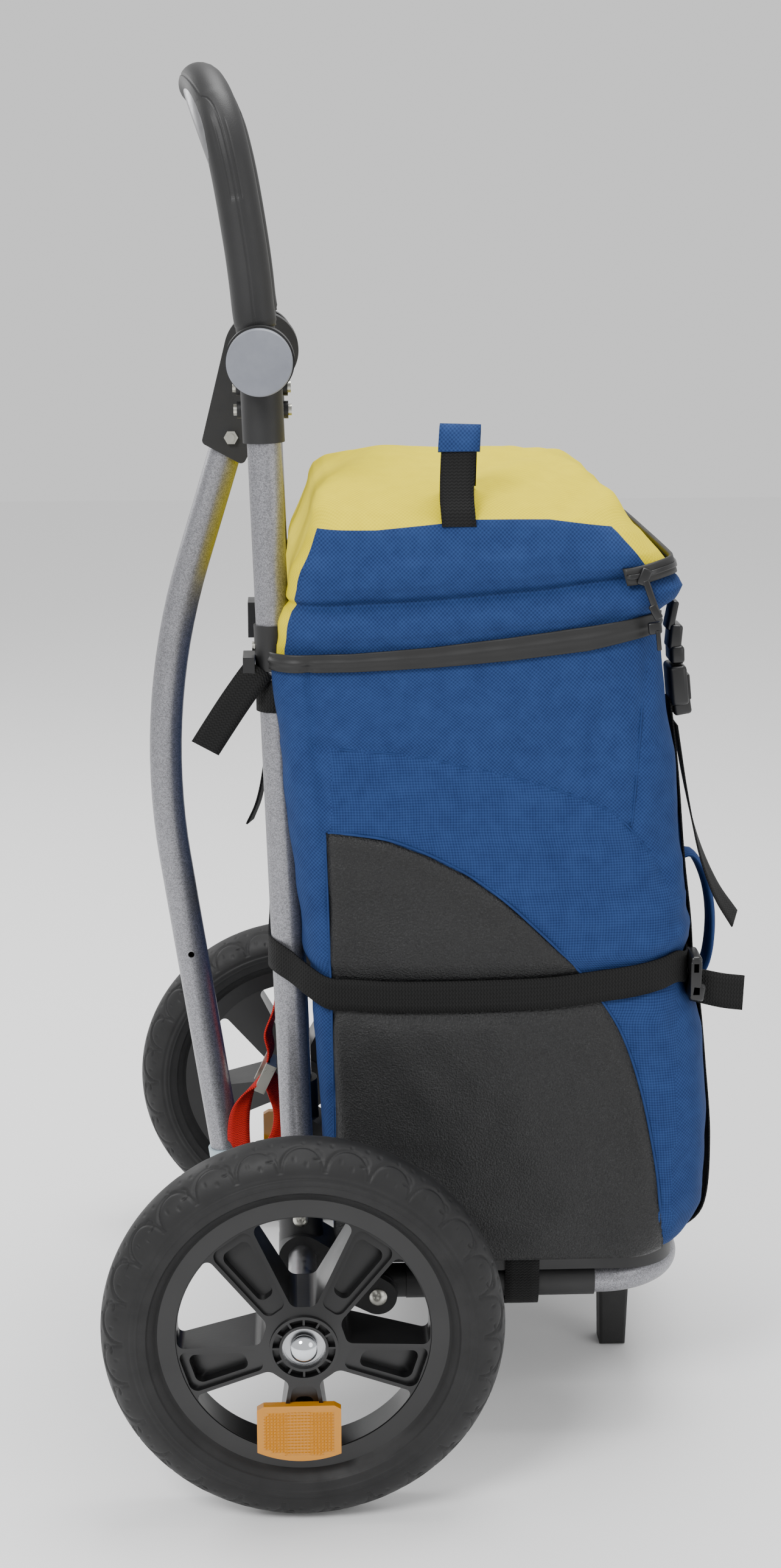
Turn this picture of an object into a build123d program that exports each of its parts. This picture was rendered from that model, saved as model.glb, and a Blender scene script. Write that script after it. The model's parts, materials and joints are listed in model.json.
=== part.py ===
"""Folding shopping trolley: two-wheeled frame, stowed tow bar, fold-up platform and zipped bag.

Millimetres. The pieces are drawn with X = 0 on the wheel axle, +X towards the bag, +Z up and
Y = 0 in the middle. ORIGIN_X then moves the whole trolley so that its origin stands on the
floor under the middle of its length.
"""
import math
import os

from build123d import *

# wheels
TYRE_OD = 300.0
TYRE_W = 47.0
TYRE_WALL = 3.5
BEAD_R = 101.5
RIM_EDGE_R = 112.0
RIM_INNER_R = 94.5
RIM_LIP = 0.8
RIM_W = 28.0
TRACK = 530.0
SPOKES = 5
SPOKE_HALF_HUB = 11.0
SPOKE_HALF_RIM = 20.5
HUB_R = 25.2
HUB_OUT = 34.0
HUB_IN = 30.0
HUB_RIBS = 12
BEARING_R = 16.0
BEARING_W = 10.0
BEARING_INSET = 2.6

# axle
AXLE_Z = TYRE_OD / 2
AXLE_TUBE_R = 11.0
SPINDLE_R = 6.0
RUN_FIT = 0.04
HUB_BUTTON_R = 9.75
HUB_BUTTON_STEM_R = 3.0
HUB_BUTTON_TRAVEL = 3.0

# frame rails
TUBE_R = 12.5
TUBE_WALL = 1.5
RAIL_Y = 125.0
LEAN = 2.0
HINGE_Z = 849.0
SOCKET_WALL = 3.0
SOCKET_R = TUBE_R + SOCKET_WALL
SOCKET_LENGTH = 60.0
CLAMP_WALL = 1.8
CLAMP_Z = (620.0, 654.0)
BRACE_Z = 637.0

# handle
HINGE_DISC_R = 24.0
KNUCKLE_R = 25.2
NECK_R = 14.2
GRIP_R = 15.5
CORE_R = 11.0
GRIP_START = 27.0
HANDLE_RISE = 195.0
HANDLE_BACK = 44.0
HANDLE_KNEE = 120.0
HANDLE_KNEE_BACK = 17.0
HANDLE_BEND = 62.0
SHAFT_R = 6.0
BUTTON_R = 23.8
BUTTON_TRAVEL = 3.0
GAP = 0.4
SEAT = 0.05

# tow bar
TOW_R = 13.0
TOW_HEAD_R = 28.8
TOW_HEAD_HALF = 17.0
TOW_TOP = (-47.8, 790.0)
TOW_KNEE = (-118.5, 564.0)
TOW_END = (-55.5, 135.0)
TOW_BEND = 550.0
TOW_SLEEVE_WALL = 2.0
TOW_SLEEVE_R = TOW_R + TOW_SLEEVE_WALL
TOW_SLEEVE_LENGTH = 58.0

# platform
PIVOT_X = 60.0
PIVOT_Z = 115.0
PIVOT_R = 4.0
PLATFORM_Z = 119.0
PLATFORM_FRONT = 297.0
PLATFORM_BEND = 57.0
SLEEVE_WALL = 1.65
SLEEVE_R = TUBE_R + SLEEVE_WALL
SLEEVE_X = (81.0, 234.0)
EAR_ROOM = 2.0
EAR_SLOT_HALF = TUBE_R + EAR_ROOM
EAR_T = 7.5
TRAY_HALF = 141.0
TONGUE_ROOM = 9.0
TRAY_RIM_Z = 151.0
FOOT_X = 268.0

# bag
BAG_HALF = 168.0
BAG_WALL = 5.0
BAG_FLOOR = 153.5
BAG_TOP = 649.0
BAG_CORNER = 24.0
LID_HINGE = (2.0, 737.0)
LID_GAP = 1.5
WEBBING = 1.6
FRONT_REACH = 345.0

ORIGIN_X = (TYRE_OD / 2 - FRONT_REACH) / 2

RAIL_SIN = math.sin(math.radians(LEAN))
RAIL_COS = math.cos(math.radians(LEAN))
HINGE_S = (HINGE_Z - AXLE_Z) / RAIL_COS
HINGE_X = -HINGE_S * RAIL_SIN
WHEEL_Y = TRACK / 2


# ---- helpers

def rail_x(z):
    """X of a rail's centre line at height z."""
    return -(z - AXLE_Z) * math.tan(math.radians(LEAN))


def rail_plane(side, height):
    """Plane square to a rail, at a height above the floor."""
    return Plane(origin=(rail_x(height), side * RAIL_Y, height), x_dir=(RAIL_COS, 0, RAIL_SIN),
                 z_dir=(-RAIL_SIN, 0, RAIL_COS))


def on_rail(side, low, high, radius, bore=0.0):
    """A round piece along a rail between two heights, with an optional bore."""
    ring = Circle(radius) - Circle(bore) if bore else Circle(radius)
    return extrude(rail_plane(side, low) * ring, (high - low) / RAIL_COS)


def slab(face, y_from, y_to):
    """An outline drawn in X and Z, thickened along Y."""
    low, high = sorted((y_from, y_to))
    return extrude(Plane.XZ.offset(-high) * face, high - low)


def disc(x, z, radius, y_from, y_to):
    """A cylinder along Y."""
    return slab(Pos(x, z) * Circle(radius), y_from, y_to)


def rod_x(y, z, radius, x_from, x_to):
    """A cylinder along X."""
    return extrude(Plane(origin=(x_from, y, z), z_dir=(1, 0, 0)) * Circle(radius), x_to - x_from)


def block(x, y, z):
    """A box between two corners, each given as (low, high)."""
    size = [pair[1] - pair[0] for pair in (x, y, z)]
    middle = [(pair[0] + pair[1]) / 2 for pair in (x, y, z)]
    return Pos(*middle) * Box(*size)


def link(first, second):
    """The outline of two circles, each (x, z, radius), and the straight sides joining them."""
    circles = [Pos(x, z) * Circle(radius) for x, z, radius in (first, second)]
    return make_hull((circles[0] + circles[1]).edges())


def spun(points):
    """A ring turned about the Y axis from (radius, y) points, centred on the axle."""
    outline = Plane.XY * make_face(Polyline(*points, close=True))
    return Pos(0, 0, AXLE_Z) * revolve(outline, Axis.Y)


def tube_along(path, radius, bore=0.0):
    """A round section swept along a path, with an optional bore."""
    start = Plane(origin=path @ 0, z_dir=path % 0)
    solid = sweep(start * Circle(radius), path=path)
    return solid - sweep(start * Circle(bore), path=path) if bore else solid


def both_sides(piece):
    """The same piece on the left and on the right, as one group."""
    return Compound(list(piece(1).solids()) + list(piece(-1).solids()))


# ---- wheels

def casing(grow):
    """Half-inflated cross-section of the tyre's outside, or of its inside when grown by less than 0."""
    middle = RIM_EDGE_R + (TYRE_OD / 2 - RIM_EDGE_R) * 0.385
    crown, wide = TYRE_OD / 2 - middle + grow, TYRE_W / 2 + grow
    seat, foot = RIM_W / 2 - 3.5 + grow, BEAD_R - min(grow, 0) * 0.1
    neck = RIM_EDGE_R + 1.5
    edges = ThreePointArc((middle, -wide), (middle + crown, 0), (middle, wide))
    edges += Spline((middle, wide), (neck, seat), tangents=[(-1, 0), (-0.6, -1)])
    edges += Line((neck, seat), (foot, seat)) + Line((foot, seat), (foot, -seat)) + Line((foot, -seat), (neck, -seat))
    edges += Spline((neck, -seat), (middle, -wide), tangents=[(0.6, -1), (1, 0)])
    return make_face(edges)


def tyre(side):
    """Hollow casing whose two beads sit between the rim's flanges."""
    section = casing(0) - casing(-TYRE_WALL) - Pos(BEAD_R, 0) * Rectangle(4, TYRE_W / 3)
    ring = revolve(section, Axis.Y)
    return Pos(0, side * WHEEL_Y, AXLE_Z) * ring


def spoke_point(angle, radius, offset):
    """A point beside a spoke's centre line."""
    turn = math.radians(angle)
    return (radius * math.cos(turn) - offset * math.sin(turn), radius * math.sin(turn) + offset * math.cos(turn))


def spoke_half(radius):
    """Half the spoke's width, which flares from hub to rim."""
    share = (radius - 30.0) / (RIM_INNER_R - 30.0)
    return SPOKE_HALF_HUB + share * (SPOKE_HALF_RIM - SPOKE_HALF_HUB)


def window(middle):
    """The opening between two spokes, with its middle at an angle."""
    step = 180.0 / SPOKES
    before, after = middle - step, middle + step
    reach = RIM_INNER_R - RIM_LIP
    near = spoke_point(before, 30.0, spoke_half(30.0))
    far = spoke_point(before, reach - 2.5, spoke_half(reach - 2.5))
    far_end = spoke_point(after, reach - 2.5, -spoke_half(reach - 2.5))
    near_end = spoke_point(after, 30.0, -spoke_half(30.0))
    crest = spoke_point(middle, reach, 0)
    edges = Line(near, far) + ThreePointArc(far, crest, far_end) + Line(far_end, near_end)
    face = make_face(edges + Line(near_end, near))
    inner = face.vertices().filter_by(lambda v: math.hypot(v.X, v.Y) < RIM_INNER_R / 2)
    face = fillet(inner, 7.0)
    outer = face.vertices().filter_by(lambda v: math.hypot(v.X, v.Y) > RIM_INNER_R - 6)
    return fillet(outer, 5.0)


def spoke_recess(angle, inset, radius_from, radius_to):
    """The outline of a recess along a spoke, inset from the spoke's sides."""
    corners = [spoke_point(angle, r, s * (spoke_half(r) - inset))
               for r, s in ((radius_from, 1), (radius_to, 1), (radius_to, -1), (radius_from, -1))]
    face = make_face(Polyline(*corners, close=True))
    width = 2 * (spoke_half(radius_from) - inset)
    return fillet(face.vertices(), min(6.0, width * 0.45))


def spoke_front(radius):
    """How far the spokes' outer face stands out at a radius."""
    share = (radius - HUB_R) / (RIM_INNER_R - HUB_R)
    return HUB_OUT - 2 - share * (HUB_OUT - 2 - RIM_W / 2 + 1)


def under_front(depth):
    """The space from a depth below the spokes' outer face outwards."""
    reach = RIM_INNER_R + 2
    low_in, low_out = spoke_front(HUB_R) - depth, spoke_front(reach) - depth
    return spun([(HUB_R, low_in), (reach, low_out), (reach, 60), (HUB_R, 60)])


def rim(side):
    """One-piece moulded wheel: rim, five hollow-backed spokes and ribbed hub."""
    half = RIM_W / 2
    ring = spun([(RIM_INNER_R, half), (RIM_EDGE_R, half), (RIM_EDGE_R, half - 3), (BEAD_R, half - 3),
                 (BEAD_R, 3 - half), (RIM_EDGE_R, 3 - half), (RIM_EDGE_R, -half), (RIM_INNER_R, -half)])
    web = spun([(HUB_R - 3, spoke_front(HUB_R)), (RIM_INNER_R + 1, half - 1), (RIM_INNER_R + 1, 1 - half),
                (HUB_R - 3, 3 - HUB_IN)])
    spoke_angles = [270.0 + i * 360.0 / SPOKES for i in range(SPOKES)]
    for angle in spoke_angles:
        web -= Pos(0, 0, AXLE_Z) * slab(window(angle + 180.0 / SPOKES), -70, 70)
    for angle in spoke_angles:
        channel = Pos(0, 0, AXLE_Z) * slab(spoke_recess(angle, 3.0, 33.0, RIM_INNER_R - 2), -70, 70)
        pocket = Pos(0, 0, AXLE_Z) * slab(spoke_recess(angle, 7.0, 44.0, RIM_INNER_R - 8), -70, 70)
        web -= (channel & under_front(3.5)) + (pocket & under_front(12.0))
    hub = spun([(SPINDLE_R + 3, HUB_OUT + 1), (HUB_R, HUB_OUT + 1), (HUB_R, -HUB_IN), (SPINDLE_R + 3, -HUB_IN)])
    groove = spun([(BEARING_R + 2, HUB_OUT + 2), (HUB_R - 2.2, HUB_OUT + 2), (HUB_R - 2.2, HUB_OUT - 5),
                   (BEARING_R + 2, HUB_OUT - 5)])
    for i in range(HUB_RIBS):
        rib = Rot(0, i * 360.0 / HUB_RIBS, 0) * block((0, HUB_R), (HUB_OUT - 6, HUB_OUT + 0.2), (-0.8, 0.8))
        groove -= Pos(0, 0, AXLE_Z) * rib
    seats = disc(0, AXLE_Z, BEARING_R, HUB_OUT - BEARING_INSET - BEARING_W, HUB_OUT + 2)
    seats += disc(0, AXLE_Z, BEARING_R, -HUB_IN - 1, BEARING_W - HUB_IN)
    wheel = ring + web + hub - groove - seats
    return Pos(0, side * WHEEL_Y, 0) * (wheel if side > 0 else mirror(wheel, Plane.XZ))


def bearings(side):
    """The hub's two ball bearings, with a shallow shield groove in each face."""
    bore, half = SPINDLE_R + RUN_FIT, BEARING_W / 2
    race = [(bore, half), (bore + 3, half), (bore + 3, half - 0.8), (BEARING_R - 1.6, half - 0.8),
            (BEARING_R - 1.6, half), (BEARING_R, half), (BEARING_R, -half), (bore, -half)]
    outer = Pos(0, HUB_OUT - BEARING_INSET - half, 0) * spun(race)
    inner = Pos(0, half - HUB_IN, 0) * spun(race)
    pair = Compound([outer.solids()[0], inner.solids()[0]])
    return Pos(0, side * WHEEL_Y, 0) * (pair if side > 0 else mirror(pair, Plane.XZ))


def reflector(side, wheel):
    """Amber reflector clipped over the lowest spoke."""
    left, right, low, high = -35.0, 27.0, -RIM_INNER_R + 1.0, -49.0
    edges = ThreePointArc((left, low + 7.5), ((left + right) / 2, low), (right, low + 5.5))
    edges += Line((right, low + 5.5), (right, high - 3)) + Line((right, high - 3), (right - 5, high))
    edges += Line((right - 5, high), (left + 5, high)) + Line((left + 5, high), (left, high - 3))
    face = make_face(edges + Line((left, high - 3), (left, low + 7.5)))
    plate = Pos(0, 0, AXLE_Z) * slab(face, 22.0, 29.0)
    plate = Pos(0, side * WHEEL_Y, 0) * (plate if side > 0 else mirror(plate, Plane.XZ))
    return plate - wheel


def hub_button(side):
    """Chrome domed button that frees the wheel when it is pressed."""
    base = WHEEL_Y + HUB_OUT + 1.0
    dome = disc(0, AXLE_Z, HUB_BUTTON_R, base, base + 2)
    dome_r = 12.0
    rise = dome_r - math.sqrt(dome_r**2 - HUB_BUTTON_R**2)
    ball = Pos(0, base + 2 + rise - dome_r, AXLE_Z) * Sphere(dome_r)
    dome += ball & disc(0, AXLE_Z, HUB_BUTTON_R, base + 1, base + 20)
    piece = dome + disc(0, AXLE_Z, HUB_BUTTON_STEM_R, base - 25, base + 1)
    return piece if side > 0 else mirror(piece, Plane.XZ)


# ---- axle and lower frame

def axle_tube():
    reach = WHEEL_Y - HUB_IN - 1.0
    return disc(0, AXLE_Z, AXLE_TUBE_R, -reach, reach) - disc(0, AXLE_Z, SPINDLE_R, -reach, reach)


def axle_spindle():
    end = WHEEL_Y + HUB_OUT + 1.0 - HUB_BUTTON_TRAVEL - 0.5
    rod = disc(0, AXLE_Z, SPINDLE_R, -end, end)
    bore = HUB_BUTTON_STEM_R + RUN_FIT
    for side in (1, -1):
        rod -= disc(0, AXLE_Z, bore, side * (end - 30), side * (end + 1))
    return rod


def main_tube(side):
    foot = AXLE_Z + AXLE_TUBE_R + 3.0
    return on_rail(side, foot, HINGE_Z - HINGE_DISC_R - 4, TUBE_R, TUBE_R - TUBE_WALL)


def axle_bracket(side):
    """Plastic casting: rail socket, axle boss and the clevis that carries the platform."""
    inner, outer = RAIL_Y - EAR_SLOT_HALF - EAR_T, RAIL_Y + EAR_SLOT_HALF + EAR_T
    arm = slab(link((0, AXLE_Z, 18.5), (PIVOT_X, PIVOT_Z, 15.0)), side * inner, side * outer)
    socket = on_rail(side, AXLE_Z, AXLE_Z + 48, TUBE_R + 5)
    body = arm + socket
    slot_low, slot_high = side * (RAIL_Y - EAR_SLOT_HALF), side * (RAIL_Y + EAR_SLOT_HALF)
    swing = Pos(PIVOT_X, PIVOT_Z) * Circle(17.5)
    front = Pos(PIVOT_X - 17.5 + 40, PIVOT_Z + 20) * Rectangle(80, 60)
    body -= slab(swing + front, slot_low, slot_high)
    body -= on_rail(side, AXLE_Z + AXLE_TUBE_R + 3, AXLE_Z + 60, TUBE_R)
    body -= disc(0, AXLE_Z, AXLE_TUBE_R, side * (inner - 1), side * (outer + 1))
    body -= disc(PIVOT_X, PIVOT_Z, PIVOT_R, side * (inner - 1), side * (outer + 1))
    bolt_z = AXLE_Z + 31
    return body - disc(rail_x(bolt_z), bolt_z, 3.0, side * (RAIL_Y - 30), side * (RAIL_Y + 30))


def round_bolt(x, z, radius, head_r, y_in, y_out, side):
    """A bolt along Y with a domed head on its outer end and a nut on its inner end."""
    shank = disc(x, z, radius, side * y_in, side * y_out)
    cap_r = head_r * 1.25
    rise = cap_r - math.sqrt(cap_r**2 - head_r**2)
    ball = Pos(x, side * (y_out + rise + 1 - cap_r), z) * Sphere(cap_r)
    head = disc(x, z, head_r, side * y_out, side * (y_out + 1))
    head += ball & disc(x, z, head_r, side * (y_out + 0.5), side * (y_out + 12))
    nut = slab(Pos(x, z) * RegularPolygon(head_r * 0.95, 6), side * y_in, side * (y_in - 4))
    return shank + head + nut


def pivot_bolt(side):
    reach = EAR_SLOT_HALF + EAR_T
    return round_bolt(PIVOT_X, PIVOT_Z, PIVOT_R, 7.0, RAIL_Y - reach, RAIL_Y + reach, side)


def bracket_bolt(side):
    """The domed bolt through the foot of a rail."""
    bolt_z = AXLE_Z + 31
    reach = TUBE_R + 5
    return round_bolt(rail_x(bolt_z), bolt_z, 3.0, 6.0, RAIL_Y - reach, RAIL_Y + reach, side)


def towbar_rest():
    """Fork on the axle that the stowed tow bar's end lies in."""
    centre = tow_x(AXLE_Z)
    collar = disc(0, AXLE_Z, AXLE_TUBE_R + 5, -14, 14)
    arm = block((centre + TOW_SLEEVE_R + 1, 0), (-10, 10), (AXLE_Z - 9, AXLE_Z + 9))
    cup = block((centre - 6, centre + TOW_SLEEVE_R + 7), (-TOW_SLEEVE_R - 4, TOW_SLEEVE_R + 4),
                (AXLE_Z - 9, AXLE_Z + 9))
    throat = Pos(centre, 0, AXLE_Z) * Cylinder(TOW_SLEEVE_R + 0.6, 60)
    throat += block((centre - 40, centre), (-TOW_SLEEVE_R - 0.6, TOW_SLEEVE_R + 0.6), (AXLE_Z - 30, AXLE_Z + 30))
    tilt = Rot(0, -math.degrees(math.atan(tow_slope())), 0)
    throat = Pos(centre, 0, AXLE_Z) * (tilt * (Pos(-centre, 0, -AXLE_Z) * throat))
    return collar + arm + cup - throat - disc(0, AXLE_Z, AXLE_TUBE_R, -20, 20)


# ---- upper frame

def brace_clamp(side):
    return on_rail(side, *CLAMP_Z, TUBE_R + CLAMP_WALL, TUBE_R)


def cross_brace():
    """Round bar that holds the two rails apart."""
    reach = RAIL_Y - TUBE_R - CLAMP_WALL + 1.2
    x = rail_x(BRACE_Z)
    bar = disc(x, BRACE_Z, 8.0, -reach, reach) - disc(x, BRACE_Z, 6.5, -reach + 3, reach - 3)
    for side in (1, -1):
        bar -= on_rail(side, *CLAMP_Z, TUBE_R + CLAMP_WALL)
    return bar


def brace_screw(side):
    """Screw in the back of a clamp."""
    x = rail_x(BRACE_Z) - TUBE_R - CLAMP_WALL
    return rod_x(side * RAIL_Y, BRACE_Z, 3.4, x - 1.8, x + 1) - on_rail(side, *CLAMP_Z, TUBE_R + CLAMP_WALL)


def hinge_socket(side):
    """Fixed half of the handle hinge: a split collar on the rail and a round cheek."""
    low = HINGE_Z - SOCKET_LENGTH
    collar = on_rail(side, low, HINGE_Z, SOCKET_R)
    cheek = disc(HINGE_X, HINGE_Z, HINGE_DISC_R, side * (RAIL_Y - 13), side * (RAIL_Y + 5))
    body = collar - block((-60, 20), (side * RAIL_Y - 40, side * RAIL_Y + 40), (HINGE_Z - HINGE_DISC_R + 8,
                                                                               HINGE_Z + 40))
    body -= disc(HINGE_X, HINGE_Z, KNUCKLE_R + GAP, side * (RAIL_Y + 5), side * (RAIL_Y + 40))
    body += cheek
    for z in screw_heights():
        body += rod_x(side * boss_y(), z, 6.5, rail_x(z) - 19, rail_x(z) + 19)
        body += block((rail_x(z) - 12, rail_x(z) + 12), sorted((side * boss_y(), side * RAIL_Y)), (z - 6, z + 6))
    body -= on_rail(side, low - 1, HINGE_Z - HINGE_DISC_R - 4, TUBE_R)
    for z in screw_heights():
        body -= rod_x(side * boss_y(), z, 2.5, rail_x(z) - 30, rail_x(z) + 30)
    return body - disc(HINGE_X, HINGE_Z, SHAFT_R, side * (RAIL_Y - 30), side * (RAIL_Y + 30))


def boss_y():
    """How far out the collar's two clamping screws stand."""
    return RAIL_Y - SOCKET_R - 3.5


def screw_heights():
    return (HINGE_Z - 38, HINGE_Z - 21)


def hinge_screw(side):
    """The clamping screws of one collar."""
    group = []
    for z in screw_heights():
        x = rail_x(z)
        screw = rod_x(side * boss_y(), z, 2.5, x - 19, x + 19)
        screw += rod_x(side * boss_y(), z, 4.2, x + 19, x + 21.5) + rod_x(side * boss_y(), z, 4.2, x - 21.5, x - 19)
        group += screw.solids()
    return Compound(group)


def hinge_shaft():
    reach = RAIL_Y + 21
    return disc(HINGE_X, HINGE_Z, SHAFT_R, -reach, reach)


# ---- handle

def handle_dir():
    """Unit direction of the handle's legs, in X and Z."""
    length = math.hypot(HANDLE_KNEE_BACK, HANDLE_KNEE)
    return -HANDLE_KNEE_BACK / length, HANDLE_KNEE / length


def leg_plane(side, distance):
    """Plane square to a handle leg, at a distance from the hinge."""
    dx, dz = handle_dir()
    return Plane(origin=(HINGE_X + dx * distance, side * RAIL_Y, HINGE_Z + dz * distance), x_dir=(dz, 0, -dx),
                 z_dir=(dx, 0, dz))


def handle_path(start):
    """The handle's centre line: up one leg, over the top and down the other."""
    dx, dz = handle_dir()
    foot = (HINGE_X + dx * start, HINGE_Z + dz * start)
    knee = (HINGE_X - HANDLE_KNEE_BACK, HINGE_Z + HANDLE_KNEE)
    top = (HINGE_X - HANDLE_BACK, HINGE_Z + HANDLE_RISE)
    points = [(x, -RAIL_Y, z) for x, z in (foot, knee, top)] + [(x, RAIL_Y, z) for x, z in (top, knee, foot)]
    return FilletPolyline(*points, radius=[60.0, HANDLE_BEND, HANDLE_BEND, 60.0])


def handle_grip():
    return tube_along(handle_path(GRIP_START), GRIP_R, CORE_R)


def handle_core():
    return tube_along(handle_path(GRIP_START), CORE_R, CORE_R - TUBE_WALL)


def handle_knuckle(side):
    """Turning half of the hinge: barrel, neck and the spigot inside the handle's tube."""
    inner, outer = RAIL_Y + 5 + GAP, RAIL_Y + 27
    body = disc(HINGE_X, HINGE_Z, KNUCKLE_R, side * inner, side * outer)
    body += disc(HINGE_X, HINGE_Z, BUTTON_R - 2.6, side * outer, side * (outer + 8))
    neck = extrude(leg_plane(side, 8) * Circle(NECK_R), GRIP_START - 8)
    neck += extrude(leg_plane(side, 20) * Circle(CORE_R - TUBE_WALL), GRIP_START + 30 - 20)
    neck -= disc(HINGE_X, HINGE_Z, HINGE_DISC_R + GAP, side * (RAIL_Y - 30), side * inner)
    body += neck
    body -= disc(HINGE_X, HINGE_Z, SHAFT_R + RUN_FIT, side * (inner - 1), side * (RAIL_Y + 21.5))
    return body - disc(HINGE_X, HINGE_Z, 5.0 + RUN_FIT, side * (RAIL_Y + 21), side * (outer + 9))


def fold_button(side):
    """Round cap that unlocks the handle when it is pressed."""
    skirt, face = RAIL_Y + 27 + BUTTON_TRAVEL + 0.2, RAIL_Y + 44
    cap = disc(HINGE_X, HINGE_Z, BUTTON_R, skirt, face) - disc(HINGE_X, HINGE_Z, BUTTON_R - 2.2, skirt - 1, face - 4)
    cap += disc(HINGE_X, HINGE_Z, 5.0, RAIL_Y + 27, face - 3)
    dome_r = 190.0
    rise = dome_r - math.sqrt(dome_r**2 - BUTTON_R**2)
    ball = Pos(HINGE_X, face + rise - dome_r, HINGE_Z) * Sphere(dome_r)
    cap += ball & disc(HINGE_X, HINGE_Z, BUTTON_R, face - 1, face + 5)
    rim_edge = cap.edges().filter_by(GeomType.CIRCLE).sort_by(Axis.Y)[-1]
    cap = chamfer(rim_edge, 0.7)
    return cap if side > 0 else mirror(cap, Plane.XZ)


# ---- tow bar

def tow_slope():
    """Sideways run of the tow bar's lower part for each millimetre of drop."""
    return (TOW_END[0] - TOW_KNEE[0]) / (TOW_KNEE[1] - TOW_END[1])


def tow_x(z):
    """X of the tow bar's lower part at a height."""
    return TOW_END[0] - (z - TOW_END[1]) * tow_slope()


def tow_path():
    points = [(x, 0, z) for x, z in (TOW_TOP, TOW_KNEE, TOW_END)]
    return FilletPolyline(*points, radius=TOW_BEND)


def towbar_tube():
    tube = tube_along(tow_path(), TOW_R, TOW_R - TUBE_WALL)
    hole_z = 359.0
    return tube - disc(tow_x(hole_z), hole_z, 2.6, -20, 20)


def tow_bolt_place():
    return HINGE_X - 24.4, HINGE_Z - 66.7


def towbar_housing():
    """Hinged head of the tow bar, tapering down to the tube's mouth."""
    low_left, low_right = (HINGE_X - 47, HINGE_Z - 73), (HINGE_X - 13, HINGE_Z - 87)
    jaw = make_hull(((Pos(HINGE_X, HINGE_Z) * Circle(TOW_HEAD_R))
                     + (Pos(low_left[0] + 4, low_left[1] + 4) * Circle(4))
                     + (Pos(low_right[0] - 4, low_right[1] + 4) * Circle(4))).edges())
    body = slab(jaw, -TOW_HEAD_HALF, TOW_HEAD_HALF)
    body -= disc(HINGE_X, HINGE_Z, SHAFT_R + RUN_FIT, -30, 30)
    body -= tube_along(tow_path(), TOW_R)
    x, z = tow_bolt_place()
    return body - disc(x, z, 3.0, -30, 30)


def towbar_bolt():
    x, z = tow_bolt_place()
    shank = disc(x, z, 3.0, -TOW_HEAD_HALF, TOW_HEAD_HALF)
    head = slab(Pos(x, z) * RegularPolygon(5.6, 6), -TOW_HEAD_HALF, -TOW_HEAD_HALF - 4)
    head += disc(x, z, 3.0, -TOW_HEAD_HALF - 4, -TOW_HEAD_HALF - 5.5)
    nut = slab(Pos(x, z) * RegularPolygon(5.6, 6), TOW_HEAD_HALF, TOW_HEAD_HALF + 4)
    return shank + head + nut


def towbar_sleeve():
    """Plastic end sleeve with a cross hole for the coupling pin."""
    slope = tow_slope()
    length = math.hypot(slope, 1)
    up = (-slope / length, 0, 1 / length)
    base = Plane(origin=(TOW_END[0] - up[0] * 6, 0, TOW_END[1] - up[2] * 6), z_dir=up)
    body = extrude(base * Circle(TOW_SLEEVE_R), TOW_SLEEVE_LENGTH)
    body -= extrude(base.offset(6) * Circle(TOW_R), TOW_SLEEVE_LENGTH)
    return body


# ---- platform

def platform_path(start):
    points = [(start, -RAIL_Y), (PLATFORM_FRONT, -RAIL_Y), (PLATFORM_FRONT, RAIL_Y), (start, RAIL_Y)]
    return FilletPolyline(*[(x, y, PLATFORM_Z) for x, y in points], radius=PLATFORM_BEND)


def platform_tube():
    return tube_along(platform_path(SLEEVE_X[0] + 2), TUBE_R, TUBE_R - TUBE_WALL)


def platform_sleeve(side):
    ring = extrude(Plane(origin=(SLEEVE_X[0] + 2, side * RAIL_Y, PLATFORM_Z), z_dir=(1, 0, 0))
                   * (Circle(SLEEVE_R) - Circle(TUBE_R + SEAT)), SLEEVE_X[1] - SLEEVE_X[0] - 2)
    return ring


def platform_lug(side):
    """Pivoting end fitting of a platform tube."""
    half = EAR_SLOT_HALF - GAP
    body = disc(PIVOT_X, PIVOT_Z, 16.0, side * RAIL_Y - half, side * RAIL_Y + half)
    body += rod_x(side * RAIL_Y, PLATFORM_Z, half - 0.6, PIVOT_X, SLEEVE_X[0] + 2)
    body += rod_x(side * RAIL_Y, PLATFORM_Z, TUBE_R - TUBE_WALL - SEAT, PIVOT_X, SLEEVE_X[0] + 32)
    return body - disc(PIVOT_X, PIVOT_Z, PIVOT_R + RUN_FIT, side * RAIL_Y - 30, side * RAIL_Y + 30)


def platform_tray():
    """Moulded tray with a raised rim and a narrow tongue between the brackets."""
    low = PLATFORM_Z + SLEEVE_R + 0.1
    wide = 2 * (RAIL_Y - EAR_SLOT_HALF - EAR_T - TONGUE_ROOM)
    tongue = Pos(75, 0) * RectangleRounded(90, wide, 12)
    plate = Pos(205, 0) * RectangleRounded(190, 2 * TRAY_HALF, 40)
    outline = plate + tongue + Pos(115, 0) * Rectangle(40, wide)
    tray = extrude(Plane.XY.offset(low) * outline, TRAY_RIM_Z - low)
    well = Pos(205, 0) * RectangleRounded(182, 2 * TRAY_HALF - 8, 36) + Pos(80, 0) * RectangleRounded(92, wide - 8, 8)
    well += Pos(115, 0) * Rectangle(40, wide - 8)
    tray -= extrude(Plane.XY.offset(low + 4) * well, 30)
    holes = Sketch() + [Pos(x, y) * SlotOverall(46, 7) for x in (80, 160, 220) for y in (-60, -20, 20, 60)]
    return tray - extrude(Plane.XY.offset(low - 1) * holes, 6)


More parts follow.
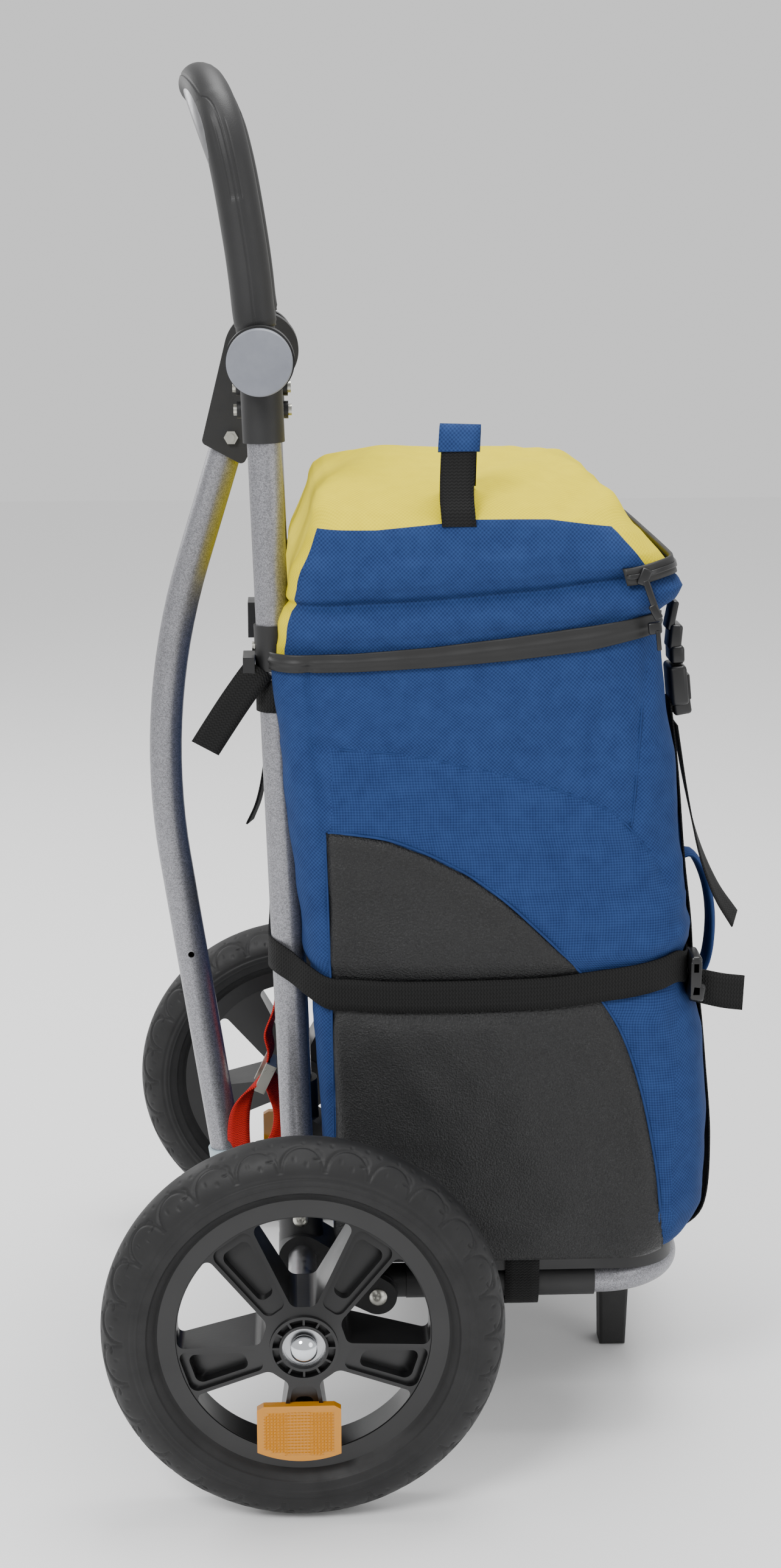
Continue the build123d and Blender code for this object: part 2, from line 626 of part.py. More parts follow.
def platform_foot():
    """Prop that the loaded trolley stands on, hung under the tray."""
    high = PLATFORM_Z + SLEEVE_R + 0.1
    outline = make_face(Polyline((FOOT_X - 11, 0), (FOOT_X + 11, 0), (FOOT_X + 15, high), (FOOT_X - 15, high),
                                 close=True))
    foot = slab(outline, -12.5, 12.5)
    foot = fillet(foot.edges().filter_by(lambda e: abs(e.center().Y) > 12.4 and e.center().Z < high - 1), 3.0)
    return foot - rod_front()


def rod_front():
    """The space that the platform's front tube fills."""
    return disc(PLATFORM_FRONT, PLATFORM_Z, TUBE_R, -60, 60)


def platform_strap(side, tray):
    """Webbing that ties the tray's edge to the tube under it."""
    ring = Pos(side * RAIL_Y, PLATFORM_Z) * Circle(SLEEVE_R + SEAT)
    corner = Pos(side * (TRAY_HALF - 2 + SEAT), TRAY_RIM_Z - 2 + SEAT) * Circle(2)
    inside = make_hull((ring + corner).edges())
    band = offset(inside, WEBBING) - inside
    band = extrude(Plane(origin=(160, 0, 0), x_dir=(0, 1, 0), z_dir=(1, 0, 0)) * band, 30)
    return band - tray - block((150, 200), sorted((0, side * (RAIL_Y - 4))), (PLATFORM_Z + 8, 200))


# ---- bag

def bag_back_x(z):
    """X of the bag's back where it leans on the rails."""
    return rail_x(z) + TUBE_R + 2.5


def bag_outline(grow):
    """Side outline of the bag's body, grown or shrunk all round."""
    points = [(31, BAG_FLOOR), (298, BAG_FLOOR), (314, 190), (317, 245), (306, 374),
              (287, 545), (270, BAG_TOP + 40), (bag_back_x(BAG_TOP + 40), BAG_TOP + 40),
              (bag_back_x(530), 530), (13, 360), (21, 253), (27, 190)]
    face = make_face(Polyline(*points, close=True))
    return offset(face, grow) if grow else face


def bag_block(grow):
    """The bag's body as one solid with round upright corners."""
    half = BAG_HALF + grow
    body = slab(bag_outline(grow), -half, half)
    plan = Pos(153, 0) * RectangleRounded(330 + 2 * grow, 2 * half, BAG_CORNER + grow)
    return body & extrude(Plane.XY * plan, 900)


def bag_shell():
    """The bag's body, open at the top, with a back panel that rises to the lid's hinge line."""
    outer = bag_block(0)
    inner = bag_block(-BAG_WALL)
    body = (outer - inner) & block((-60, 400), (-300, 300), (0, BAG_TOP))
    x, z = LID_HINGE
    low = BAG_TOP - 12
    panel = make_face(Polyline((bag_back_x(low), low), (bag_back_x(low) + 4, low), (x + 1, z - LID_GAP - 3),
                               (x - 3, z - LID_GAP - 3), close=True))
    return body + slab(panel, 14 - BAG_HALF, BAG_HALF - 14)


def base_board():
    """Stiff board on the floor of the bag."""
    low = BAG_FLOOR + BAG_WALL
    return extrude(Plane.XY.offset(low) * (Pos(164, 0) * RectangleRounded(250, 2 * BAG_HALF - 34, 20)), 3)


def bag_lid():
    """Soft-topped lid: crowned top, front and two sides, open below and at the back."""
    x, z = LID_HINGE
    low = BAG_TOP + LID_GAP

    def outline(wall):
        points = [(x + 9, low - (5 if wall else 0)), (x + 1, z + 3 - wall), (30, z + 21 - wall), (80, z + 29 - wall),
                  (171, z + 30 - wall), (232, z + 17 - wall), (258 - wall, 712), (271 - wall, 690),
                  (269 - wall, low - (5 if wall else 0))]
        return make_face(Polyline(*points, close=True))

    body = slab(outline(0), -BAG_HALF, BAG_HALF)
    top_sides = body.edges().filter_by(lambda e: abs(abs(e.center().Y) - BAG_HALF) < 0.1 and e.center().Z > z + 1
                                       and e.length > 45)
    body = chamfer(top_sides, 22)
    cavity = slab(outline(4.0), 4 - BAG_HALF, BAG_HALF - 4)
    sides = cavity.edges().filter_by(lambda e: abs(abs(e.center().Y) - BAG_HALF + 4) < 0.1
                                     and e.center().Z > z - 3 and e.length > 45)
    cavity = chamfer(sides, 22)
    back = block((x - 20, x + 14), (4 - BAG_HALF, BAG_HALF - 4), (low - 5, z - 2))
    return body - cavity - back


def belt(z_low, z_high, plan, thickness):
    """A closed band of webbing around a plan outline."""
    ring = offset(plan, thickness) - plan
    return extrude(Plane.XY.offset(z_low) * ring, z_high - z_low)


def compression_strap(shell):
    """Belt of webbing around the bag and both rails."""
    z_low, z_high = 366, 394
    middle = (z_low + z_high) / 2
    plan = Pos(153, 0) * RectangleRounded(306, 2 * BAG_HALF, BAG_CORNER)
    for side in (1, -1):
        plan += Pos(rail_x(middle), side * RAIL_Y) * Circle(TUBE_R + 0.7)
    hull = make_hull(plan.edges())
    return belt(z_low, z_high, hull, WEBBING) - shell


def strap_tail(strap, shell):
    """Cam buckle of the belt with the strap's loose end in front of the bag."""
    tail = block((304, FRONT_REACH), (-144, -141.5), (350, 378))
    buckle = block((300, 316), (-156, -128), (362, 397))
    return (buckle - strap - shell), (tail - buckle - strap - shell)


def front_strap():
    """Upright webbing down the front of the bag, tied to the lid's buckle."""
    path = [(281, 600), (291, 560), (300, 500), (309, 430), (313, 330), (320, 250), (317, 180), (302, 150)]
    shifted = [(x + 2.2, z) for x, z in reversed(path)]
    face = make_face(Polyline(*path, *shifted, close=True))
    return slab(face, -122, -97)


def front_buckle(part):
    """Side-release buckle: the socket on the strap or the prongs on the lid."""
    low, high = ((585, 617) if part == "socket" else (618, 650))
    x = 284 if part == "socket" else 281
    shell = block((x, x + 12), (-126, -93), (low, high))
    return fillet(shell.edges().filter_by(Axis.X), 4.0)


def front_loop():
    """Padded grab loop on the front of the bag."""
    path = ThreePointArc((305, 0, 470), (327, 0, 420), (313, 0, 370))
    section = Plane(origin=path @ 0, x_dir=(0, 1, 0), z_dir=path % 0) * SlotOverall(26, 9)
    return sweep(section, path=path)


def carry_loop(lid):
    """Loop of webbing over the lid's right edge, with a folded cloth top."""
    y, z = -BAG_HALF + 22, LID_HINGE[1]
    strap = block((106, 131), (y - 1, y + 1.4), (z - 14, z + 62))
    pad = fillet(block((108, 134), (y - 5, y + 5), (z + 50, z + 66)).edges().filter_by(Axis.X), 4)
    return (strap + pad) - lid


def anchor_strap(side):
    """Webbing round a rail, with its loose end hanging behind."""
    ring = on_rail(side, 588, 613, TUBE_R + WEBBING, TUBE_R + 0.1)
    x = rail_x(600)
    if side < 0:
        tail = Polyline((x - 18, 612), (x - 49, 560), (x - 51, 562), (x - 20, 614), close=True)
        length = (-RAIL_Y - 10, -RAIL_Y + 10)
    else:
        tail = Polyline((x - 16, 604), (x - 13, 500), (x - 24, 440), (x - 26, 440), (x - 15, 500), (x - 18, 604),
                        close=True)
        length = (RAIL_Y - 10, RAIL_Y + 10)
    return Compound(list(ring.solids()) + list(slab(make_face(tail), *length).solids()))


def anchor_buckle(side):
    """Plastic ladder buckle behind a rail."""
    x = rail_x(616) - TUBE_R - CLAMP_WALL - GAP
    frame = block((x - 9, x - 0.2), (side * RAIL_Y - 15, side * RAIL_Y + 15), (601, 631))
    frame -= block((x - 20, x + 5), (side * RAIL_Y - 10.6, side * RAIL_Y + 10.6), (603, 614))
    return frame - anchor_strap(side)


def safety_strap(rest, shell):
    """Red strap from the bag's back to the axle, for the tow bar."""
    outer = [(13, 336), (-16, 318), (-30, 262), (-44, 235), (-44, 178), (-30, 168), (-13, 161)]
    inner = [(-11, 165), (-27, 173), (-39, 182), (-39, 232), (-26, 258), (-13, 315), (13.5, 332)]
    return slab(make_face(Polyline(*outer, *inner, close=True)), -11, 11) - rest - shell


def safety_buckle(strap):
    """Metal cam buckle on the red strap."""
    frame = Pos(-29, 0, 250) * (Rot(0, 25, 0) * Box(9, 30, 26))
    return frame - strap


def bag_zip_pull():
    """Slider and cord pull of the main zip."""
    y = -BAG_HALF
    return block((262, 272), (y - 5, y - 0.2), (634, 646))


def pocket_zip(lid):
    """Zip across the front of the lid, with its slider."""
    band = block((256, 275), (-BAG_HALF + 6, BAG_HALF - 6), (693, 702))
    pull = block((258, 266), (-BAG_HALF - 4.5, -BAG_HALF + 2), (668, 702))
    return (band + pull) - lid


# ---- the whole trolley

def build():
    parts = {}
    for name, side in (("left", 1), ("right", -1)):
        parts[f"main_tube_{name}"] = main_tube(side)
        parts[f"axle_bracket_{name}"] = axle_bracket(side)
        parts[f"brace_clamp_{name}"] = brace_clamp(side)
        parts[f"hinge_socket_{name}"] = hinge_socket(side)
        parts[f"handle_knuckle_{name}"] = handle_knuckle(side)
        parts[f"fold_button_{name}"] = fold_button(side)
        parts[f"tyre_{name}"] = tyre(side)
        parts[f"wheel_{name}"] = rim(side)
        parts[f"wheel_bearings_{name}"] = bearings(side)
        parts[f"reflector_{name}"] = reflector(side, parts[f"wheel_{name}"])
        parts[f"hub_button_{name}"] = hub_button(side)
    parts["axle_tube"] = axle_tube()
    parts["axle_spindle"] = axle_spindle()
    parts["pivot_bolts"] = both_sides(pivot_bolt)
    parts["bracket_bolts"] = both_sides(bracket_bolt)
    for name, side in (("left", 1), ("right", -1)):
        parts[f"main_tube_{name}"] -= parts["bracket_bolts"]
    parts["towbar_rest"] = towbar_rest()
    parts["cross_brace"] = cross_brace()
    parts["brace_screws"] = both_sides(brace_screw)
    parts["hinge_screws"] = both_sides(hinge_screw)
    parts["hinge_shaft"] = hinge_shaft()
    parts["handle_grip"] = handle_grip()
    parts["handle_core"] = handle_core()
    parts["towbar_tube"] = towbar_tube()
    parts["towbar_housing"] = towbar_housing()
    parts["towbar_bolt"] = towbar_bolt()
    parts["towbar_tube"] -= parts["towbar_bolt"]
    parts["towbar_sleeve"] = towbar_sleeve()
    parts["platform_tube"] = platform_tube()
    parts["platform_sleeves"] = both_sides(platform_sleeve)
    parts["platform_lugs"] = both_sides(platform_lug)
    parts["platform_tray"] = platform_tray()
    parts["platform_foot"] = platform_foot()
    parts["platform_straps"] = both_sides(lambda side: platform_strap(side, parts["platform_tray"]))
    parts["bag_shell"] = bag_shell()
    parts["bag_base_board"] = base_board()
    parts["bag_lid"] = bag_lid()
    parts["lid_carry_loop"] = carry_loop(parts["bag_lid"])
    parts["lid_zip"] = pocket_zip(parts["bag_lid"])
    parts["bag_zip_pull"] = bag_zip_pull()
    parts["compression_strap"] = compression_strap(parts["bag_shell"])
    buckle, tail = strap_tail(parts["compression_strap"], parts["bag_shell"])
    parts["compression_buckle"] = buckle
    parts["compression_tail"] = tail
    parts["front_strap"] = front_strap() - parts["bag_shell"] - parts["compression_strap"]
    parts["front_buckle_socket"] = front_buckle("socket") - parts["bag_shell"] - parts["front_strap"]
    parts["front_buckle_prong"] = front_buckle("prong") - parts["bag_lid"]
    parts["front_grab_loop"] = front_loop() - parts["bag_shell"] - parts["compression_strap"]
    parts["anchor_straps"] = both_sides(anchor_strap)
    parts["anchor_buckles"] = both_sides(anchor_buckle)
    parts["safety_strap"] = safety_strap(parts["towbar_rest"], parts["bag_shell"])
    parts["safety_buckle"] = safety_buckle(parts["safety_strap"])
    return parts


os.makedirs("parts", exist_ok=True)
for node, solid in build().items():
    export_step(Pos(ORIGIN_X, 0, 0) * solid, f"parts/{node}.step")
    print(node, len(solid.solids()), round(solid.volume / 1000, 1))
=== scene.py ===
"""Folding shopping trolley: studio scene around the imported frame.

Metres. at(x, y, z) takes millimetres from the axle's middle on the floor: +X is towards the bag's
front, +Y to the left wheel and +Z up.
"""
import json
import math

import bmesh
import bpy
from mathutils import Matrix, Vector, noise


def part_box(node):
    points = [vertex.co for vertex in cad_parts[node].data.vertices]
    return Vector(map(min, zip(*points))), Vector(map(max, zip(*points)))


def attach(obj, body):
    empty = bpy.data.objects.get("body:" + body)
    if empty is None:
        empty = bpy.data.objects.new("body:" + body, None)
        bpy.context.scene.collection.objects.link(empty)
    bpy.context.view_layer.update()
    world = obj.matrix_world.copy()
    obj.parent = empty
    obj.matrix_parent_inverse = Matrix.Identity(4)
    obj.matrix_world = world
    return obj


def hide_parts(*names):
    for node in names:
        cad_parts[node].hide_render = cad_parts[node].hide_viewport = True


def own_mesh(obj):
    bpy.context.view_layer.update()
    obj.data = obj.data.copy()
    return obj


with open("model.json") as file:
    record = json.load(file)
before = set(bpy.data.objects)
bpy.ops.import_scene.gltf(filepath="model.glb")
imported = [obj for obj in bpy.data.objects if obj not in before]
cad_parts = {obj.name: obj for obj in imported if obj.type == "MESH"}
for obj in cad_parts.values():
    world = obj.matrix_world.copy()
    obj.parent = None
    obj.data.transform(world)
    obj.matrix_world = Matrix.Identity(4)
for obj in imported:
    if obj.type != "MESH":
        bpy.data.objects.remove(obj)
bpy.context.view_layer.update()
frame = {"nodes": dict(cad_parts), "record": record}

MM = 0.001
SIDES = {"left": 1, "right": -1}
RAIL_Y = 125.0  # from the middle to a rail's centre line
AXLE = (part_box("axle_tube")[0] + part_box("axle_tube")[1]) / 2


def at(x, y, z):
    """A point given in millimetres from the axle's middle on the floor."""
    return Vector((AXLE.x + x * MM, y * MM, z * MM))


# ---- materials

def srgb(code):
    """A hex colour, made linear."""
    channels = [int(code[i:i + 2], 16) / 255 for i in (1, 3, 5)]
    return tuple(c / 12.92 if c <= 0.04045 else ((c + 0.055) / 1.055) ** 2.4 for c in channels) + (1.0,)


def node(tree, kind, links=None, values=None, **settings):
    """Add a node with its settings, values and links."""
    made = tree.nodes.new(kind)
    for key, value in settings.items():
        setattr(made, key, value)
    for key, value in (values or {}).items():
        made.inputs[key].default_value = value
    for key, source in (links or {}).items():
        tree.links.new(source, made.inputs[key])
    return made


def material(name, colour, roughness, metallic=0.0, **sockets):
    """A Principled material, its tree and its shader."""
    made = bpy.data.materials.new(name)
    made.use_nodes = True
    tree = made.node_tree
    shader = tree.nodes["Principled BSDF"]
    shader.inputs["Base Color"].default_value = srgb(colour)
    shader.inputs["Roughness"].default_value = roughness
    shader.inputs["Metallic"].default_value = metallic
    for key, value in sockets.items():
        shader.inputs[key.replace("_", " ").title().replace("Ior", "IOR")].default_value = value
    return made, tree, shader


def object_noise(tree, size_mm, detail=2.0, rough=0.5):
    """Noise whose grains are size_mm across."""
    place = node(tree, "ShaderNodeTexCoord")
    return node(tree, "ShaderNodeTexNoise", {"Vector": place.outputs["Object"]},
                {"Scale": 1000.0 / size_mm, "Detail": detail, "Roughness": rough})


def bump(tree, shader, height, depth_mm, strength=1.0):
    """Raise the surface by a height from 0 to 1, times depth_mm."""
    made = node(tree, "ShaderNodeBump", {"Height": height}, {"Strength": strength, "Distance": depth_mm * MM})
    tree.links.new(made.outputs["Normal"], shader.inputs["Normal"])
    return made


def tint(tree, shader, source, low, high, first, second):
    """Colour that runs from one hex to another as source goes from low to high."""
    ramp = node(tree, "ShaderNodeMapRange", {"Value": source}, {"From Min": low, "From Max": high})
    mix = node(tree, "ShaderNodeMix", {"Factor": ramp.outputs["Result"]}, data_type="RGBA")
    mix.inputs[6].default_value = srgb(first)
    mix.inputs[7].default_value = srgb(second)
    tree.links.new(mix.outputs[2], shader.inputs["Base Color"])
    return mix


def vary_roughness(tree, shader, size_mm, low, high):
    """Patches of handling wear: roughness that drifts over the surface."""
    patch = object_noise(tree, size_mm, 3.0)
    ramp = node(tree, "ShaderNodeMapRange", {"Value": patch.outputs["Fac"]},
                {"From Min": 0.3, "From Max": 0.7, "To Min": low, "To Max": high})
    tree.links.new(ramp.outputs["Result"], shader.inputs["Roughness"])


def moulded(name, colour, low, high, grain_mm=0.9, depth_mm=0.05, second=None):
    """Injection-moulded plastic: a spark-eroded grain and slightly uneven gloss."""
    made, tree, shader = material(name, colour, low, ior=1.5)
    grain = object_noise(tree, grain_mm, 2.0)
    bump(tree, shader, grain.outputs["Fac"], depth_mm)
    vary_roughness(tree, shader, 45.0, low, high)
    if second:
        dust = object_noise(tree, 30.0, 6.0, 0.6)
        tint(tree, shader, dust.outputs["Fac"], 0.35, 0.75, colour, second)
    return made


def metallic_paint(name, colour, flake):
    """Silver paint over aluminium: bright flakes half a millimetre across in a grey coat."""
    made, tree, shader = material(name, colour, 0.36, 0.75)
    place = node(tree, "ShaderNodeTexCoord")
    flakes = node(tree, "ShaderNodeTexVoronoi", {"Vector": place.outputs["Object"]}, {"Scale": 1000.0 / 0.7})
    grey = node(tree, "ShaderNodeSeparateColor", {"Color": flakes.outputs["Color"]})
    tint(tree, shader, grey.outputs["Red"], 0.0, 1.0, colour, flake)
    bump(tree, shader, grey.outputs["Green"], 0.03, 0.5)
    vary_roughness(tree, shader, 60.0, 0.33, 0.42)
    return made


def plated(name, colour, low, high):
    """Zinc or nickel plating over steel: bright, faintly cloudy."""
    made, tree, shader = material(name, colour, low, 1.0)
    vary_roughness(tree, shader, 6.0, low, high)
    return made


def woven(name, colour, second, thread_mm, depth_mm=0.22, roughness=0.82):
    """Coated polyester in a basket weave, with painted shade in the weave's low points; the piece's own UV map is in
    metres along the cloth.
    """
    made, tree, shader = material(name, colour, roughness, specular_ior_level=0.15)
    place = node(tree, "ShaderNodeUVMap", uv_map="cloth")
    parts = node(tree, "ShaderNodeSeparateXYZ", {"Vector": place.outputs["UV"]})
    waves = []
    for axis in ("X", "Y"):
        turns = node(tree, "ShaderNodeMath", {0: parts.outputs[axis]}, {1: math.tau * 500.0 / thread_mm},
                     operation="MULTIPLY")
        waves.append(node(tree, "ShaderNodeMath", {0: turns.outputs[0]}, operation="SINE"))
    basket = node(tree, "ShaderNodeMath", {0: waves[0].outputs[0], 1: waves[1].outputs[0]}, operation="MULTIPLY")
    height = node(tree, "ShaderNodeMapRange", {"Value": basket.outputs[0]}, {"From Min": -1.0, "From Max": 1.0})
    # Painted shade: the colour is darker where the weave's height is low, between the threads; the fuzz adds random
    # tone on top.
    fuzz = object_noise(tree, 14.0, 5.0, 0.65)
    weave_shade_and_fuzz = node(tree, "ShaderNodeMath", {0: height.outputs["Result"], 1: fuzz.outputs["Fac"]}, operation="ADD")
    tint(tree, shader, weave_shade_and_fuzz.outputs[0], 0.35, 1.5, second, colour)
    bump(tree, shader, height.outputs["Result"], depth_mm, 0.8)
    return made


def webbing(name, colour, second, rib_mm=2.4):
    """Flat woven webbing: raised ribs across the strap, in two rows of stitches-like picks, with painted shade in
    the grooves between the ribs.
    """
    made, tree, shader = material(name, colour, 0.75, specular_ior_level=0.25)
    place = node(tree, "ShaderNodeUVMap", uv_map="cloth")
    parts = node(tree, "ShaderNodeSeparateXYZ", {"Vector": place.outputs["UV"]})
    along = node(tree, "ShaderNodeMath", {0: parts.outputs["X"]}, {1: math.tau * 1000.0 / rib_mm},
                 operation="MULTIPLY")
    across = node(tree, "ShaderNodeMath", {0: parts.outputs["Y"]}, {1: math.tau * 1000.0 / 3.2},
                  operation="MULTIPLY")
    side = node(tree, "ShaderNodeMath", {0: across.outputs[0]}, operation="SINE")
    shift = node(tree, "ShaderNodeMath", {0: side.outputs[0]}, {1: 1.3}, operation="MULTIPLY")
    phase = node(tree, "ShaderNodeMath", {0: along.outputs[0], 1: shift.outputs[0]}, operation="ADD")
    rib = node(tree, "ShaderNodeMath", {0: phase.outputs[0]}, operation="SINE")
    height = node(tree, "ShaderNodeMapRange", {"Value": rib.outputs[0]}, {"From Min": -1.0, "From Max": 1.0})
    # Painted shade: the grooves between the ribs are coloured darker than their crests.
    tint(tree, shader, height.outputs["Result"], 0.1, 0.9, second, colour)
    bump(tree, shader, height.outputs["Result"], 0.35)
    return made


def granular(name, colour, second):
    """Coated tarpaulin: a coarse pebbled grain that catches small glints, with painted glints: lighter grey on the
    raised grains.
    """
    made, tree, shader = material(name, colour, 0.5, ior=1.5, specular_ior_level=0.4)
    place = node(tree, "ShaderNodeTexCoord")
    pebbles = node(tree, "ShaderNodeTexVoronoi", {"Vector": place.outputs["Object"]}, {"Scale": 1000.0 / 1.5})
    sand = object_noise(tree, 1.1, 4.0, 0.7)
    height = node(tree, "ShaderNodeMath", {0: pebbles.outputs["Distance"], 1: sand.outputs["Fac"]},
                  operation="ADD")
    bump(tree, shader, height.outputs[0], 0.45)
    # Painted glints: the grains that stand highest are coloured lighter grey.
    tint(tree, shader, sand.outputs["Fac"], 0.5, 0.75, colour, second)
    vary_roughness(tree, shader, 2.0, 0.35, 0.62)
    return made


def tyre_rubber():
    """Carbon-black rubber: matt, with a greyish bloom."""
    made, tree, shader = material("tyre_rubber", "#0d0d0d", 0.55, ior=1.5, specular_ior_level=0.4)
    bloom = object_noise(tree, 26.0, 6.0, 0.65)
    tint(tree, shader, bloom.outputs["Fac"], 0.35, 0.7, "#0b0b0c", "#131314")
    grain = object_noise(tree, 1.2, 3.0)
    bump(tree, shader, grain.outputs["Fac"], 0.06)
    vary_roughness(tree, shader, 20.0, 0.5, 0.66)
    return made


def amber_lens():
    """Injection-moulded amber acrylic: glossy, deep orange."""
    return material("amber_acrylic", "#b87800", 0.16, ior=1.49, coat_weight=0.25, coat_roughness=0.04)[0]


MATERIALS = {
    # Aluminium tube under a coat of silver metallic paint.
    "silver_paint": metallic_paint("silver_metallic_paint", "#6f6f73", "#9a9a9f"),
    # Bare drawn steel, as the hinge shaft and the spindle are.
    "steel": plated("drawn_steel", "#8d8d8f", 0.3, 0.45),
    # Screws, nuts and the cam buckle: steel with clear zinc.
    "zinc_steel": plated("zinc_plated_steel", "#b5b4ac", 0.24, 0.42),
    # Ground rings and shields of the ball bearings.
    "bearing_steel": plated("ground_steel", "#a6a7a9", 0.2, 0.34),
    # Hinges, brackets and clamps: nylon with glass fibre, which leaves it matt.
    "black_plastic": moulded("glass_filled_nylon", "#0e0e0f", 0.42, 0.6, 1.2, 0.07, "#161617"),
    # Spoked wheels, with the satin skin of moulded polypropylene.
    "wheel_plastic": moulded("satin_polypropylene", "#0b0b0c", 0.3, 0.42, 2.4, 0.04, "#101011"),
    # Soft rubbery grip moulded over the handle.
    "grip_foam": moulded("soft_grip_tpe", "#101011", 0.48, 0.6, 0.9, 0.09, "#171718"),
    # Rubber of the prop foot.
    "foot_rubber": moulded("foot_rubber", "#151515", 0.6, 0.75, 1.6, 0.08, "#1c1c1c"),
    # Release caps in blue-grey ABS.
    "grey_plastic": moulded("blue_grey_abs", "#6d7078", 0.4, 0.52, 1.0, 0.05, "#7b7e86"),
    # Slipped-on end sleeve in pale PVC.
    "pale_plastic": moulded("pale_blue_pvc", "#a3b6bf", 0.4, 0.5, 3.0, 0.03, "#aebfc6"),
    # Buckles and zip pullers in acetal.
    "buckle_plastic": moulded("acetal_black", "#0a0a0b", 0.3, 0.42, 1.5, 0.04, "#101012"),
    # Stiffener sheet in the bottom of the bag.
    "board": moulded("sheet_polypropylene", "#161616", 0.6, 0.7, 2.0, 0.1, "#1c1c1c"),
    # Zip tape with a water-shedding coat.
    "zip": moulded("coated_zip_tape", "#0b0b0b", 0.5, 0.62, 0.8, 0.06, "#101010"),
    # Polished chrome on the hub buttons.
    "chrome": plated("chrome_plate", "#cfd2d6", 0.05, 0.1),
    "tyre": tyre_rubber(),
    "amber": amber_lens(),
    # Coated polyester. The real thread is 0.65 mm; it is drawn 1.5 mm wide so that the weave still shows.
    # The second colour of each weave is the painted shade in its low points.
    "blue_fabric": woven("navy_600d_polyester", "#27406f", "#11244c", 1.5),
    "yellow_fabric": woven("yellow_600d_polyester", "#dcca00", "#c8b400", 1.5, 0.12),
    # Woven straps: polypropylene, and dyed polyester for the red one.
    # The second colour of each strap is the painted shade between its ribs.
    "webbing": webbing("black_polypropylene_webbing", "#141414", "#050505"),
    "red_webbing": webbing("red_polyester_webbing", "#d8231a", "#8e0d0a", 1.6),
    # Hard-wearing lower panels of coated tarpaulin.
    # The second colour is painted glints on the raised grains.
    "panel": granular("black_tarpaulin", "#0c0c0d", "#2c2d2e"),
}

for record_row in frame["record"]["subparts"]:
    cad = frame["nodes"][record_row["node"]]
    cad.data.materials.clear()
    cad.data.materials.append(MATERIALS[record_row["material_slot"]])


# ---- mesh helpers

def finish_piece(name, bm, body, slot, nodes=(), smooth=True, extra=()):
    """Turn a bmesh into a finished piece that rides on a body."""
    mesh = bpy.data.meshes.new(name)
    bm.to_mesh(mesh)
    bm.free()
    piece = bpy.data.objects.new(name, mesh)
    bpy.context.scene.collection.objects.link(piece)
    for key in (slot, *extra):
        mesh.materials.append(MATERIALS[key])
    if smooth:
        mesh.shade_smooth()
    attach(piece, body)
    if nodes:
        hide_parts(*nodes)
    return piece


def walled(piece, thick_mm, offset=-1.0):
    """Give a single-skin piece its thickness, inwards unless offset is 0."""
    wall = piece.modifiers.new("wall", "SOLIDIFY")
    wall.thickness = thick_mm * MM
    wall.offset = offset
    return piece


def through(points, count):
    """A smooth curve through points, as count evenly spaced places."""
    known = [Vector(p) for p in points]
    known = [known[0] * 2 - known[1]] + known + [known[-1] * 2 - known[-2]]
    dense = []
    for i in range(1, len(known) - 2):
        a, b, c, d = known[i - 1:i + 3]
        for k in range(24):
            t = k / 24
            dense.append(0.5 * (2 * b + (c - a) * t + (2 * a - 5 * b + 4 * c - d) * t * t
                                + (3 * b - a - 3 * c + d) * t ** 3))
    dense.append(known[-2])
    lengths = [0.0]
    for p, q in zip(dense, dense[1:]):
        lengths.append(lengths[-1] + (q - p).length)
    spots, j = [], 0
    for i in range(count):
        goal = lengths[-1] * i / (count - 1)
        while j < len(dense) - 2 and lengths[j + 1] < goal:
            j += 1
        span = max(lengths[j + 1] - lengths[j], 1e-9)
        spots.append(dense[j].lerp(dense[j + 1], (goal - lengths[j]) / span))
    return spots


def level(points):
    """A function that runs smoothly through (where, value) points."""
    def value(where):
        if where <= points[0][0]:
            return points[0][1]
        for (a, first), (b, second) in zip(points, points[1:]):
            if where <= b:
                t = (where - a) / (b - a)
                return first + (second - first) * t
        return points[-1][1]
    return value


def ribbon(name, spots, across, width, body, slot, nodes=(), thick=1.4, rows=4):
    """A strap of webbing along spots; across gives the strap's width direction at each spot."""
    bm = bmesh.new()
    cloth = bm.loops.layers.uv.new("cloth")
    line, run, runs = [], 0.0, []
    for i, spot in enumerate(spots):
        if i:
            run += (spot - spots[i - 1]).length
        runs.append(run)
        way = across(i / (len(spots) - 1)) if callable(across) else Vector(across)
        line.append([bm.verts.new(spot + way.normalized() * width * MM * (k / rows - 0.5))
                     for k in range(rows + 1)])
    for i in range(len(line) - 1):
        for k in range(rows):
            face = bm.faces.new((line[i][k], line[i + 1][k], line[i + 1][k + 1], line[i][k + 1]))
            for loop, (u, v) in zip(face.loops, ((i, k), (i + 1, k), (i + 1, k + 1), (i, k + 1))):
                loop[cloth].uv = (runs[u], v / rows * width * MM)
    bmesh.ops.recalc_face_normals(bm, faces=bm.faces)
    return walled(finish_piece(name, bm, body, slot, nodes), thick, 0.0)


def tube(name, spots, radius_mm, body, slot, nodes=(), sides=10):
    """A thin round piping along spots."""
    bm = bmesh.new()
    rings = []
    for i, spot in enumerate(spots):
        ahead = spots[min(i + 1, len(spots) - 1)] - spots[max(i - 1, 0)]
        turn = ahead.to_track_quat("Z", "X").to_matrix().to_4x4()
        ring = bmesh.ops.create_circle(bm, segments=sides, radius=radius_mm * MM,
                                       matrix=Matrix.Translation(spot) @ turn)["verts"]
        rings.append(ring)
    for first, second in zip(rings, rings[1:]):
        edges = [e for e in bm.edges if all(v in first for v in e.verts) or all(v in second for v in e.verts)]
        bmesh.ops.bridge_loops(bm, edges=edges)
    bmesh.ops.recalc_face_normals(bm, faces=bm.faces)
    return finish_piece(name, bm, body, slot, nodes)


# ---- handle grip

